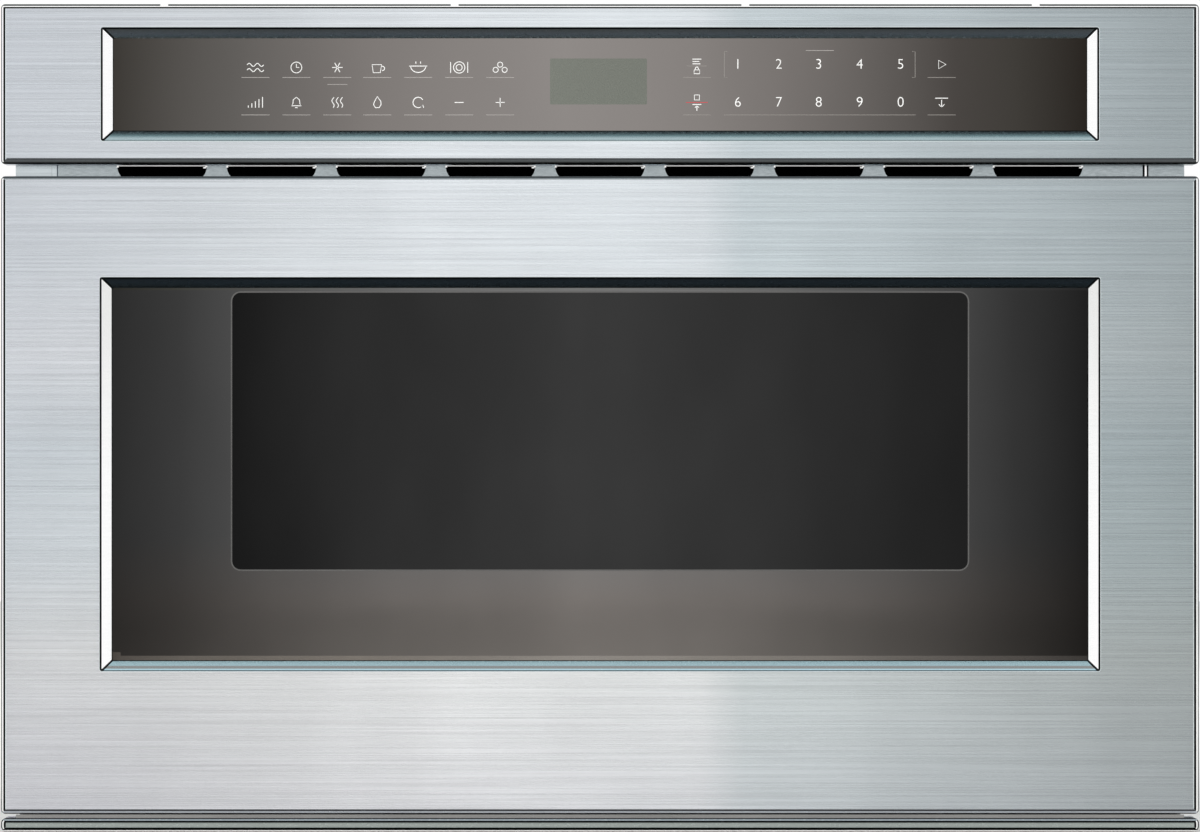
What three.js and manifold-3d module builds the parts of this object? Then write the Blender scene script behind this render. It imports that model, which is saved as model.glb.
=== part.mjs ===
// Built-in drawer microwave for a 24 in cabinet.
// Millimetres, +Z up, front towards -Y, +X to the right of someone facing the front.
// The origin lies on the shelf, under the middle of the product.

import * as THREE from 'three';
import { mergeVertices } from 'three/addons/utils/BufferGeometryUtils.js';
import Module from 'manifold-3d';

const wasm = await Module();
wasm.setup();

// ---------------------------------------------------------------- driving dimensions

const overallWidth = 606.4; // fascia, drawer front and trim
const overallHeight = 419.1;
const overallDepth = 594;
const seat = 0.3; // gap left between two pieces that touch

// Front panels, from the bottom up
const trimLift = 1;
const trimHeight = 6.1;
const trimGap = 2.1;
const ventGap = 6.1;
const fasciaHeight = 81;
const frontShellDepth = 30;
const skinSheet = 1.2;
const skinEdgeRadius = 1.8;
const wellSideMargin = 50.9;
const controlWellMargin = 11.9;
const drawerWellTopMargin = 51.3;
const drawerWellBottomMargin = 72.4;
const wellBevel = 5.2;
const wellDepth = 5.5;
const glassSheet = 4;
const glassOverlap = 2.6; // glass hidden behind each edge of its well

// Chassis
const skidHeight = 10;
const caseSheet = 1.2;
const frameSheet = 1.5;
const frameStandoff = 3; // front shells to frame
const flangeInset = 7.6; // flange behind each side edge of the front panels
const flangeReach = 17.6; // flange past each side of the case
const flangeDrop = 15.1; // flange under the top of the fascia
const flangeRise = 1; // flange over the foot of the trim
const driveBayHeight = 73.5;
const upperBayHeight = 86;
const sideBayWidth = 50;
const rearBayDepth = 144.7;

// Cooking compartment, which takes the room that the bays leave
const ceilingDrop = 46.5; // cavity ceiling under the top of the drawer front
const tubSheet = 1.2;
const trayThickness = 5;
const cavitySheet = 1;
const cavityGap = 6; // tub to cavity, above, below and behind
const cavitySideGap = 8.5;
const chokeWidth = 26;
const chokeGap = 1.5; // choke cover to frame

// Slides and drive
const tubHeldBack = 34.6; // tub still inside the cavity when the drawer is open
const slideHeight = 52;
const slideRise = 58; // middle of the slides over the bottom of the tub
const slideRearRoom = 57.1; // behind the closed slides
const gearModule = 1.5;
const pinionTeeth = 18;
const pressureAngle = THREE.MathUtils.degToRad(20);
const dedendum = 1.25; // root depth of a tooth, in modules
const gearBacklash = 0.25;
const rackWidth = 12;
const rackBody = 8;
const rackDrop = 25.5; // rack under the cavity floor
const pinionSetback = 37.5; // pinion behind the front frame

// ---------------------------------------------------------------- derived stations

const halfWidth = overallWidth / 2;
const frontY = -overallDepth / 2;
const rearY = overallDepth / 2;
const shellRearY = frontY + frontShellDepth;
const frameFrontY = shellRearY + frameStandoff;
const frameRearY = frameFrontY + frameSheet;
const caseFrontY = frameRearY + seat;
const rearPanelY = rearY - caseSheet;
const caseRearY = rearPanelY - seat;

const trimTop = trimLift + trimHeight;
const drawerBottom = trimTop + trimGap;
const fasciaBottom = overallHeight - fasciaHeight;
const drawerTop = fasciaBottom - ventGap;

const glassFrontY = frontY + wellDepth + seat;
const glassRearY = glassFrontY + glassSheet;

const panBottom = skidHeight + seat;
const panTop = panBottom + caseSheet;
const cavityFloor = panTop + driveBayHeight + cavitySheet;
const tubBottom = cavityFloor + cavityGap;
const tubFloor = tubBottom + tubSheet;
const trayBottom = tubFloor + seat;
const cavityCeiling = drawerTop - ceilingDrop;
const tubTop = cavityCeiling - cavityGap;
const ceilingTop = cavityCeiling + cavitySheet;
const caseTopUnder = ceilingTop + upperBayHeight;
const flangeHalf = halfWidth - flangeInset;
const flangeTop = overallHeight - flangeDrop;
const flangeBottom = trimLift + flangeRise;
const caseHalf = flangeHalf - flangeReach;
const caseInner = caseHalf - caseSheet;
const cavityHalf = caseHalf - sideBayWidth;
const tubHalf = cavityHalf - cavitySideGap - tubSheet;

const plugRearY = shellRearY - seat; // plane that closes the cavity
const rearBayY = caseRearY - rearBayDepth;
const cavityBackY = rearBayY - seat - cavitySheet;
const tubBackY = cavityBackY - cavityGap - tubSheet;

const drawerTravel = tubBackY - plugRearY - tubHeldBack;
const slideZ = tubBottom + slideRise;
const pinionY = frameRearY + pinionSetback;

// ---------------------------------------------------------------- finishes

function finish(color, roughness, metalness) {
  return new THREE.MeshStandardMaterial({ color, roughness, metalness });
}

const stainless = finish(0xc9cdce, 0.35, 1);
const galvanised = finish(0x9aa0a2, 0.5, 0.9);
const enamel = finish(0x8d9092, 0.4, 0.1);
const darkGlass = finish(0x3d3935, 0.08, 0);
const clearCeramic = finish(0xe6e8e4, 0.12, 0);
const blackPlastic = finish(0x1c1d1e, 0.55, 0);
const whitePlastic = finish(0xdfe0dc, 0.5, 0);
const circuitBoard = finish(0x2f5d3a, 0.5, 0);
const motorCase = finish(0x6e7376, 0.4, 0.9);
const copper = finish(0x9a5a32, 0.45, 0.7);
const acetal = finish(0xe9e6da, 0.4, 0);
const display = finish(0x747872, 0.3, 0);

// ---------------------------------------------------------------- solids

const unitX = new THREE.Vector3(1, 0, 0);
const unitY = new THREE.Vector3(0, 1, 0);
const unitZ = new THREE.Vector3(0, 0, 1);
const profileYZ = new THREE.Matrix4().makeBasis(unitY, unitZ, unitX);
const profileXZ = new THREE.Matrix4().makeBasis(unitX, unitZ, unitY.clone().negate());

const hiddenCurve = 1; // half the facets in each quarter turn of a corner
const seenCurve = 2;

function extrude(shape, from, to, curveSegments = hiddenCurve) {
  const geometry = new THREE.ExtrudeGeometry(shape, {
    depth: to - from,
    bevelEnabled: false,
    curveSegments,
  });
  return geometry.translate(0, 0, from);
}

// A shape drawn in Y and Z, given a length along X
function alongX(shape, from, to) {
  return extrude(shape, from, to).applyMatrix4(profileYZ);
}

// A shape drawn in X and Z, given a length along Y
function alongY(shape, from, to, curveSegments = hiddenCurve) {
  return extrude(shape, -to, -from, curveSegments).applyMatrix4(profileXZ);
}

// A shape drawn in X and Y, given a height along Z
function alongZ(shape, from, to) {
  return extrude(shape, from, to);
}

function box(x0, x1, y0, y1, z0, z1) {
  const geometry = new THREE.BoxGeometry(x1 - x0, y1 - y0, z1 - z0);
  return geometry.translate((x0 + x1) / 2, (y0 + y1) / 2, (z0 + z1) / 2);
}

function rodX(radius, from, to, y, z, sides = 16) {
  const geometry = new THREE.CylinderGeometry(radius, radius, to - from, sides);
  return geometry.rotateZ(Math.PI / 2).translate((from + to) / 2, y, z);
}

function rodY(radius, from, to, x, z, sides = 16) {
  const geometry = new THREE.CylinderGeometry(radius, radius, to - from, sides);
  return geometry.translate(x, (from + to) / 2, z);
}

function rodZ(radius, from, to, x, y, sides = 16) {
  const geometry = new THREE.CylinderGeometry(radius, radius, to - from, sides);
  return geometry.rotateX(Math.PI / 2).translate(x, y, (from + to) / 2);
}

// A profile of radius and height, turned about Z
function turned(points, segments = 20) {
  const profile = points.map(([radius, height]) => new THREE.Vector2(radius, height));
  return new THREE.LatheGeometry(profile, segments).rotateX(Math.PI / 2);
}

function rectangle(x0, x1, y0, y1, radius = 0) {
  const shape = new THREE.Shape();
  if (radius === 0) {
    shape.moveTo(x0, y0).lineTo(x1, y0).lineTo(x1, y1).lineTo(x0, y1).closePath();
    return shape;
  }
  shape.moveTo(x0 + radius, y0);
  shape.lineTo(x1 - radius, y0).absarc(x1 - radius, y0 + radius, radius, -Math.PI / 2, 0);
  shape.lineTo(x1, y1 - radius).absarc(x1 - radius, y1 - radius, radius, 0, Math.PI / 2);
  shape.lineTo(x0 + radius, y1).absarc(x0 + radius, y1 - radius, radius, Math.PI / 2, Math.PI);
  shape.lineTo(x0, y0 + radius).absarc(x0 + radius, y0 + radius, radius, Math.PI, 1.5 * Math.PI);
  return shape;
}

// A rectangle grown on every side by margin
function grown(area, margin) {
  return {
    x0: area.x0 - margin,
    x1: area.x1 + margin,
    z0: area.z0 - margin,
    z1: area.z1 + margin,
  };
}

function areaShape(area, radius = 0) {
  return rectangle(area.x0, area.x1, area.z0, area.z1, radius);
}

// Each inner corner of a line turned into a bend
function bend(points, radius, steps = 3) {
  const line = points.map(([x, y]) => new THREE.Vector2(x, y));
  const bent = [line[0]];
  for (let i = 1; i < line.length - 1; i += 1) {
    const towards = (other) => line[i].clone().add(other.clone().sub(line[i]).setLength(radius));
    const curve = new THREE.QuadraticBezierCurve(towards(line[i - 1]), line[i], towards(line[i + 1]));
    bent.push(...curve.getPoints(steps));
  }
  bent.push(line[line.length - 1]);
  return bent.map((point) => [point.x, point.y]);
}

// A folded sheet seen end on: a line, with the sheet's thickness on its left side
function sheetShape(points, thickness) {
  const line = points.map(([x, y]) => new THREE.Vector2(x, y));
  const normals = line.slice(1).map((point, i) => {
    const direction = point.clone().sub(line[i]).normalize();
    return new THREE.Vector2(-direction.y, direction.x);
  });
  const offset = line.map((point, i) => {
    const before = normals[Math.max(i - 1, 0)];
    const after = normals[Math.min(i, normals.length - 1)];
    const mitre = before.clone().add(after).divideScalar(1 + before.dot(after));
    return point.clone().addScaledVector(mitre, thickness);
  });
  return new THREE.Shape([...line, ...offset.reverse()]);
}

// A line from a to b with raised beads, each given by its middle, drawn in x and height
function beadedLine(from, to, level, beads, width, height) {
  const direction = Math.sign(to - from);
  const slope = Math.abs(height);
  const points = [[from, level]];
  const ordered = [...beads].sort((a, b) => direction * (a - b));
  for (const middle of ordered) {
    const half = (direction * width) / 2;
    const shoulder = direction * slope;
    points.push([middle - half - shoulder, level], [middle - half, level + height]);
    points.push([middle + half, level + height], [middle + half + shoulder, level]);
  }
  points.push([to, level]);
  return points;
}

function toSolid(geometry) {
  const bare = geometry.clone();
  bare.deleteAttribute('normal');
  bare.deleteAttribute('uv');
  const merged = mergeVertices(bare, 1e-4);
  return new wasm.Manifold(new wasm.Mesh({
    numProp: 3,
    vertProperties: merged.attributes.position.array,
    triVerts: Uint32Array.from(merged.index.array),
  }));
}

function toGeometry(solid) {
  const mesh = solid.getMesh();
  const geometry = new THREE.BufferGeometry();
  geometry.setAttribute('position', new THREE.BufferAttribute(mesh.vertProperties, 3));
  geometry.setIndex(new THREE.BufferAttribute(mesh.triVerts, 1));
  geometry.computeVertexNormals();
  return geometry;
}

function join(...pieces) {
  return toGeometry(pieces.map(toSolid).reduce((sum, piece) => sum.add(piece)));
}

function cut(piece, ...tools) {
  return toGeometry(tools.map(toSolid).reduce((rest, tool) => rest.subtract(tool), toSolid(piece)));
}

// A rectangular tube along Y, between two nested rectangles
function ring(outer, inner, from, to, outerRadius = 0, innerRadius = 0) {
  const bore = alongY(areaShape(inner, innerRadius), from - 1, to + 1);
  return cut(alongY(areaShape(outer, outerRadius), from, to), bore);
}

const model = new THREE.Group();

function section(name) {
  const group = new THREE.Group();
  group.name = name;
  model.add(group);
  return group;
}

function place(group, name, geometry, material, position = [0, 0, 0]) {
  const mesh = new THREE.Mesh(geometry, material);
  mesh.name = name;
  mesh.position.set(...position);
  group.add(mesh);
}

const sides = [['left', -1], ['right', 1]];

// Turns a span measured outwards from the middle into one on the given side
function outward(side, from, to) {
  return side > 0 ? [from, to] : [-to, -from];
}

// ---------------------------------------------------------------- chassis

const chassis = section('chassis');

const panLip = 16;
const beadWidth = 22;
const beadHeight = 4;
const panEdge = caseInner - seat;
const middleBeadX = 60;
const outerBeadX = panEdge - 31.5;
const panBeads = [-outerBeadX, -middleBeadX, middleBeadX, outerBeadX];

function basePan() {
  const edge = panEdge;
  const floorLine = beadedLine(-edge, edge, panBottom, panBeads, beadWidth, beadHeight);
  const line = [[-edge, panTop + panLip], ...floorLine, [edge, panTop + panLip]];
  return alongY(sheetShape(line, caseSheet), caseFrontY, caseRearY);
}

const skidMargin = 78; // middle of a skid to the side of the case
const skidX = caseHalf - skidMargin;
const skidWidth = 26;
const skidInset = 10;
const skidRamp = 12;

function baseSkid(side) {
  const front = caseFrontY + skidInset;
  const rear = caseRearY - skidInset;
  const shape = new THREE.Shape();
  shape.moveTo(front, skidHeight).lineTo(front, skidHeight / 2).lineTo(front + skidRamp, 0);
  shape.lineTo(rear - skidRamp, 0).lineTo(rear, skidHeight / 2).lineTo(rear, skidHeight).closePath();
  const middle = side * skidX;
  return alongX(shape, middle - skidWidth / 2, middle + skidWidth / 2);
}

const sideBeadInset = 62; // from the bottom and the top of a case side
const sideBeadHeight = 1.6;

function caseSide(side) {
  const bottom = panBottom;
  const top = caseTopUnder - seat;
  const beads = [bottom + sideBeadInset, top - sideBeadInset];
  const line = beadedLine(bottom, top, caseInner, beads, beadWidth, sideBeadHeight);
  const right = line.map(([height, x]) => [x, height]).reverse();
  const points = side > 0 ? right : right.map(([x, height]) => [-x, height]).reverse();
  return alongY(sheetShape(points, caseSheet), caseFrontY, caseRearY);
}

const topLip = 10;
const topBeads = [-150, 150];

function caseTop() {
  const edge = caseHalf + seat;
  const roof = beadedLine(-edge, edge, caseTopUnder, topBeads, beadWidth, -beadHeight);
  const line = [[-edge, caseTopUnder - topLip], ...roof, [edge, caseTopUnder - topLip]];
  return alongY(sheetShape(line, caseSheet), caseFrontY, caseRearY);
}

const louvreLength = 34;
const louvreHeight = 4;
const louvrePitchX = 42;
const louvrePitchZ = 12;
const pocketHeight = 22; // antenna pocket over the cavity ceiling
const magnetronTop = ceilingTop + pocketHeight;
const magnetronFlange = 1.6;
const stemHeight = 5;
const yokeHeight = 80;
const yokeTop = magnetronTop - magnetronFlange - stemHeight;
const fanX = -92;
const fanDrop = 53.9; // fan shaft under the top of the magnetron's yoke
const fanZ = yokeTop - fanDrop;
const transformerX = 145;
const onPan = panTop + seat;
const intake = { x: fanX - 26, z: fanZ - 8, columns: 3, rows: 7 };
const lowerIntake = { x: transformerX, z: onPan + 54.2, columns: 3, rows: 4 };
const glandX = -200;
const glandRise = 49.7;
const glandZ = panBottom + glandRise;
const glandRadius = 9.5;

function louvreSlot(x, z) {
  const half = louvreLength / 2;
  const rise = louvreHeight / 2;
  const slot = new THREE.Path();
  slot.moveTo(x - half, z).lineTo(x - half + rise, z - rise).lineTo(x + half - rise, z - rise);
  slot.lineTo(x + half, z).lineTo(x + half - rise, z + rise).lineTo(x - half + rise, z + rise).closePath();
  return slot;
}

function rearPanel() {
  const panel = rectangle(-caseHalf, caseHalf, panBottom, caseTopUnder - seat, 3);
  for (const field of [intake, lowerIntake]) {
    for (let column = 0; column < field.columns; column += 1) {
      for (let row = 0; row < field.rows; row += 1) {
        const x = field.x + (column - (field.columns - 1) / 2) * louvrePitchX;
        const z = field.z + (row - (field.rows - 1) / 2) * louvrePitchZ;
        panel.holes.push(louvreSlot(x, z));
      }
    }
  }
  const glandHole = rodY(glandRadius, rearPanelY - 1, rearY + 1, glandX, glandZ, 24);
  return cut(alongY(panel, rearPanelY, rearY), glandHole);
}

// Front frame: two rails and two stiles round the mouth of the cavity
// Past the case, its flange is stepped back into a flat land that meets the cabinet
const frameLip = 12;
const landStep = 1;
const landLap = 1; // sheet shared by a plate and its land
const landGap = 2; // case to the nearest edge of a land
const landFrontY = frameFrontY + landStep;
const landRearY = frameRearY + landStep;
const landSideX = caseHalf + seat + caseSheet + landGap;
const landTopZ = caseTopUnder + caseSheet + landGap;
const rackSlotHalf = rackWidth / 2 + 3;
const slideSlot = { inner: 22.8, height: slideHeight + 2 };
const keyX = 150;
const keyDrop = 12; // interlock keys under the top of the drawer front
const keyZ = drawerTop - keyDrop;
const keySlot = { width: 20, height: 16 };

// Vent strip in the gap over the drawer
const ventStripHalf = halfWidth - 28.5;
const ventStripBottom = drawerTop - 2.4;
const ventStripTop = fasciaBottom + 12.9;
const ventStripSheet = 1;
const ventSlotWidth = 45;
const ventSlotPitch = 55.45;
const ventEndRoom = 40;
const ventSlots = Math.floor((2 * ventStripHalf - ventEndRoom) / ventSlotPitch);
const ventSlotBottom = drawerTop + 1.2;
const ventSlotTop = ventStripTop - 4;
const ventSlotRadius = 4.3;
const ventWindow = { z0: drawerTop, z1: ventStripTop - 1, half: ventStripHalf - 2.7, rib: 7, count: 3 };

const rackTop = cavityFloor - cavitySheet - rackDrop;
const rackRoot = rackTop - rackBody;
const pitchLine = rackRoot - dedendum * gearModule;
const pitchRadius = (gearModule * pinionTeeth) / 2;
const pinionZ = pitchLine - pitchRadius;

function frameTopRail() {
  const plate = rectangle(-flangeHalf, flangeHalf, cavityCeiling, landTopZ + landLap);
  const { z0, z1, half, rib, count } = ventWindow;
  const width = (2 * half - (count - 1) * rib) / count;
  for (let i = 0; i < count; i += 1) {
    const left = -half + i * (width + rib);
    plate.holes.push(rectangle(left, left + width, z0, z1, 3));
  }
  for (const [, side] of sides) {
    const [x, reach, rise] = [side * keyX, keySlot.width / 2, keySlot.height / 2];
    plate.holes.push(rectangle(x - reach, x + reach, keyZ - rise, keyZ + rise, 2));
  }
  const lip = box(-cavityHalf, cavityHalf, frameRearY - seat, frameRearY + frameLip,
    ceilingTop + seat, ceilingTop + seat + frameSheet);
  const land = box(-flangeHalf, flangeHalf, landFrontY, landRearY, landTopZ, flangeTop);
  return join(alongY(plate, frameFrontY, frameRearY), lip, land);
}

function frameBottomRail() {
  const plate = rectangle(-flangeHalf, flangeHalf, flangeBottom, cavityFloor, 1.5);
  plate.holes.push(rectangle(-rackSlotHalf, rackSlotHalf, rackRoot - 6, rackTop + 2.5, 2));
  const under = cavityFloor - cavitySheet - seat;
  const lip = box(-cavityHalf, cavityHalf, frameRearY - seat, frameRearY + frameLip, under - frameSheet, under);
  return join(alongY(plate, frameFrontY, frameRearY), lip);
}

function frameStile(side) {
  const [z0, z1] = [cavityFloor + seat, cavityCeiling - seat];
  const plate = rectangle(...outward(side, cavityHalf, landSideX + landLap), z0, z1);
  const [s0, s1] = outward(side, caseInner - slideSlot.inner, caseInner - seat);
  plate.holes.push(rectangle(s0, s1, slideZ - slideSlot.height / 2, slideZ + slideSlot.height / 2, 2));
  const wall = cavityHalf + cavitySheet + seat;
  const [l0, l1] = outward(side, wall, wall + frameSheet);
  const lip = box(l0, l1, frameRearY - seat, frameRearY + frameLip, cavityFloor + 12, cavityCeiling - 2);
  const land = box(...outward(side, landSideX, flangeHalf), landFrontY, landRearY, z0, z1);
  return join(alongY(plate, frameFrontY, frameRearY), lip, land);
}

// A slot with round lower corners
function ventSlot(x0, x1) {
  const round = ventSlotRadius;
  const level = ventSlotBottom + round;
  const slot = new THREE.Path();
  slot.moveTo(x0, ventSlotTop).lineTo(x0, level).absarc(x0 + round, level, round, Math.PI, 1.5 * Math.PI);
  slot.lineTo(x1 - round, ventSlotBottom).absarc(x1 - round, level, round, 1.5 * Math.PI, 2 * Math.PI);
  slot.lineTo(x1, ventSlotTop).closePath();
  return slot;
}

function ventGrille() {
  const front = shellRearY + seat;
  const rear = frameFrontY - seat;
  const outside = { x0: -ventStripHalf, x1: ventStripHalf, z0: ventStripBottom, z1: ventStripTop };
  const face = areaShape(outside, 1);
  for (let i = 0; i < ventSlots; i += 1) {
    const middle = (i - (ventSlots - 1) / 2) * ventSlotPitch;
    face.holes.push(ventSlot(middle - ventSlotWidth / 2, middle + ventSlotWidth / 2));
  }
  const wall = ring(outside, grown(outside, -ventStripSheet), front, rear, 1);
  return join(alongY(face, front, front + ventStripSheet, seenCurve), wall);
}

// A pressed front: rounded edges, folded back on four sides, open behind
function pressedShell(area, yFront, yRear) {
  const radius = skinEdgeRadius;
  const corner = 0.4;
  const core = new THREE.ExtrudeGeometry(areaShape(grown(area, -radius), corner), {
    depth: yRear - yFront,
    bevelSize: radius,
    bevelThickness: radius,
    bevelSegments: 2,
    curveSegments: 1,
  });
  core.translate(0, 0, -yRear).applyMatrix4(profileXZ).translate(0, radius, 0);
  const behind = grown(area, radius);
  const rearTrim = alongY(areaShape(behind), yRear, yRear + 2 * radius + 1);
  const hollow = alongY(areaShape(grown(area, -skinSheet)), yFront + skinSheet, yRear + 1);
  return cut(core, rearTrim, hollow);
}

// A tapering block between two rectangles, the mouth at the front
function funnel(mouth, throat, yMouth, yThroat) {
  const corners = (area, y) => [
    [area.x0, y, area.z0], [area.x1, y, area.z0], [area.x1, y, area.z1], [area.x0, y, area.z1],
  ];
  const geometry = new THREE.BufferGeometry();
  const points = [...corners(mouth, yMouth), ...corners(throat, yThroat)].flat();
  geometry.setAttribute('position', new THREE.Float32BufferAttribute(points, 3));
  geometry.setIndex([
    0, 1, 2, 0, 2, 3, 4, 6, 5, 4, 7, 6,
    0, 4, 5, 0, 5, 1, 1, 5, 6, 1, 6, 2, 2, 6, 7, 2, 7, 3, 3, 7, 4, 3, 4, 0,
  ]);
  return geometry;
}

// A pressed front with a bevelled well that frames the glass
function wellFront(area, well) {
  const shell = pressedShell(area, frontY, shellRearY);
  const throat = grown(well, -wellBevel);
  const slope = wellBevel / wellDepth;
  const over = 1;
  const mouthOver = grown(well, slope * over);
  const wall = skinSheet * 1.4; // measured square to the front, across the sloping bevel
  const bevelWall = funnel(grown(well, wall), grown(throat, wall), frontY + seat, frontY + wellDepth);
  const opening = funnel(mouthOver, grown(throat, -slope * over), frontY - over, frontY + wellDepth + over);
  return cut(join(shell, bevelWall), opening);
}

function glassPane(well) {
  const pane = grown(well, glassOverlap - wellBevel);
  return alongY(areaShape(pane, 2), glassFrontY, glassRearY, seenCurve);
}

// A strip under the drawer, fixed to the bottom rail
function bottomTrim() {
  const area = { x0: -halfWidth, x1: halfWidth, z0: trimLift, z1: trimTop };
  return pressedShell(area, frontY, frameFrontY - seat);
}

place(chassis, 'base_pan', basePan(), galvanised);
place(chassis, 'case_top', caseTop(), galvanised);
place(chassis, 'rear_panel', rearPanel(), galvanised);
place(chassis, 'frame_top_rail', frameTopRail(), galvanised);
place(chassis, 'frame_bottom_rail', frameBottomRail(), galvanised);
place(chassis, 'vent_grille', ventGrille(), stainless);
place(chassis, 'bottom_trim', bottomTrim(), stainless);
for (const [name, side] of sides) {
  place(chassis, `base_skid_${name}`, baseSkid(side), blackPlastic);
  place(chassis, `case_side_${name}`, caseSide(side), galvanised);
  place(chassis, `frame_stile_${name}`, frameStile(side), galvanised);
}

// ---------------------------------------------------------------- control panel

const controlPanel = section('control_panel');

const fasciaArea = { x0: -halfWidth, x1: halfWidth, z0: fasciaBottom, z1: overallHeight };
const controlWell = {
  x0: -halfWidth + wellSideMargin,
  x1: halfWidth - wellSideMargin,
  z0: fasciaBottom + controlWellMargin,
  z1: overallHeight - controlWellMargin,
};
const notchPitch = 147.1;
const notchX = [-1.5, -0.5, 0.5, 1.5].map((step) => step * notchPitch);
const notchWidth = 4;
const notchDepth = 1;
const notchLength = 5;

function controlFascia() {
  const notches = notchX.map((x) => box(x - notchWidth / 2, x + notchWidth / 2, frontY - 1,
    frontY + notchLength, overallHeight - notchDepth, overallHeight + 1));
  return cut(wellFront(fasciaArea, controlWell), ...notches);
}

const housingWall = 2.4;
const housingPlate = 1.8;
const bossRadius = 5;
const bossX = [-230, -80, 80, 230];
const bossInset = 32; // bosses under the top of the fascia
const housingFrontY = glassRearY + seat;
const housingRearY = shellRearY - seat;
const boardThickness = 1.6;
const boardPegLength = 5;
const boardRearY = housingRearY - housingPlate - boardPegLength;
const boardFrontY = boardRearY - boardThickness;
const boardHalf = 118;

function controlHousing() {
  const rim = grown(controlWell, glassOverlap - wellBevel);
  const plate = grown(fasciaArea, -skinSheet - seat);
  const pieces = [
    ring(rim, grown(rim, -housingWall), housingFrontY, housingRearY - 0.5, 2),
    alongY(areaShape(plate, 1), housingRearY - housingPlate, housingRearY),
  ];
  for (const x of bossX) {
    pieces.push(rodY(bossRadius, housingRearY - 1, frameFrontY - seat, x, overallHeight - bossInset, 10));
  }
  const middle = (rim.z0 + rim.z1) / 2;
  for (const x of [-boardHalf + 10, 0, boardHalf - 10]) {
    pieces.push(rodY(3, boardRearY + seat, housingRearY - 1, x, middle, 8));
  }
  return join(...pieces);
}

const displayWidth = 49.1;
const displayHeight = 23.3;
const displayX = -0.75;
const displayZ = (controlWell.z0 + controlWell.z1) / 2 + 1.6;

function displayModule() {
  const half = displayWidth / 2;
  const rise = displayHeight / 2;
  const carrier = 3;
  const screen = rectangle(displayX - half, displayX + half, displayZ - rise, displayZ + rise, 0.5);
  const base = rectangle(displayX - half - carrier, displayX + half + carrier,
    displayZ - rise - carrier, displayZ + rise + carrier, 1);
  const step = housingFrontY + 2.5;
  return join(alongY(screen, housingFrontY, step + 1), alongY(base, step, boardFrontY - seat));
}

const relaySize = { width: 16, height: 20, depth: 6 };
const relayX = [-95, -72, -49];

function controlBoard() {
  const rim = grown(controlWell, glassOverlap - wellBevel - housingWall - 1.5);
  const middle = (rim.z0 + rim.z1) / 2;
  const board = rectangle(-boardHalf, boardHalf, rim.z0, rim.z1, 2);
  const pieces = [alongY(board, boardFrontY, boardRearY)];
  for (const x of relayX) {
    pieces.push(box(x - relaySize.width / 2, x + relaySize.width / 2, boardFrontY - relaySize.depth,
      boardFrontY + 0.5, middle - relaySize.height / 2, middle + relaySize.height / 2));
  }
  const socket = { half: 22, height: 5 };
  pieces.push(box(70 - socket.half, 70 + socket.half, boardFrontY - socket.height, boardFrontY + 0.5,
    rim.z0 + 4, rim.z0 + 10));
  return join(...pieces);
}

place(controlPanel, 'control_fascia', controlFascia(), stainless);
place(controlPanel, 'control_glass', glassPane(controlWell), darkGlass);
place(controlPanel, 'control_housing', controlHousing(), blackPlastic);
place(controlPanel, 'control_board', controlBoard(), circuitBoard);
place(controlPanel, 'display_module', displayModule(), display);

// ---------------------------------------------------------------- cavity

const cavity = section('cavity');

const cavityBend = 6;

function cavityWrap() {
  const top = cavityCeiling - seat;
  const line = [[cavityHalf, top], [cavityHalf, cavityFloor], [-cavityHalf, cavityFloor], [-cavityHalf, top]];
  return alongY(sheetShape(bend(line, cavityBend), cavitySheet), caseFrontY, cavityBackY - seat);
}

const backBead = 60;

function cavityBack() {
  const half = cavityHalf + cavitySheet;
  const plate = rectangle(-half, half, cavityFloor - cavitySheet, cavityCeiling - seat, 3);
  const raised = {
    x0: -half + backBead,
    x1: half - backBead,
    z0: cavityFloor + backBead,
    z1: cavityCeiling - backBead,
  };
  const pocket = funnel(raised, grown(raised, 3), cavityBackY - 3, cavityBackY);
  const pressed = funnel(grown(raised, cavitySheet), grown(raised, 3 + cavitySheet), cavityBackY - 3 - cavitySheet,
    cavityBackY + cavitySheet / 2);
  const hollow = join(pocket, alongY(areaShape(grown(raised, 3)), cavityBackY, cavityBackY + cavitySheet + 1));
  return cut(join(alongY(plate, cavityBackY, cavityBackY + cavitySheet), pressed), hollow);
}

const antennaSetback = 205.3; // antenna behind the closed door's plug
const antennaY = plugRearY + antennaSetback;
const pocketRadius = 95;
const pocketTopRadius = 84;
const pocketSides = 28;
const shaftRadius = 4;
const shaftClearance = 0.4;
const couplingRadius = 14;
const ceilingHalf = cavityHalf + 12;

function cavityCeilingPlate() {
  const plate = rectangle(-ceilingHalf, ceilingHalf, caseFrontY, cavityBackY - seat, 4);
  const mouth = rodZ(pocketRadius + 1, cavityCeiling - 1, ceilingTop + 1, 0, antennaY, pocketSides);
  const top = ceilingTop + pocketHeight;
  const dish = turned([
    [couplingRadius, top - cavitySheet], [pocketTopRadius, top - cavitySheet], [pocketRadius, cavityCeiling],
    [pocketRadius + 2, cavityCeiling], [pocketRadius + 2, ceilingTop], [pocketTopRadius + 1, top],
    [couplingRadius, top], [couplingRadius, top - cavitySheet],
  ], pocketSides).translate(0, antennaY, 0);
  return join(cut(alongZ(plate, cavityCeiling, ceilingTop), mouth), dish);
}

const coverRadius = 99;
const coverSheet = 0.8;

function stirrerCover() {
  const top = cavityCeiling - seat;
  return turned([
    [0, top - coverSheet - 1], [coverRadius - 14, top - coverSheet - 1], [coverRadius - 8, top - coverSheet],
    [coverRadius, top - coverSheet], [coverRadius, top], [coverRadius - 9, top], [coverRadius - 15, top - 1],
    [0, top - 1],
  ]).translate(0, antennaY, 0);
}

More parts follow.
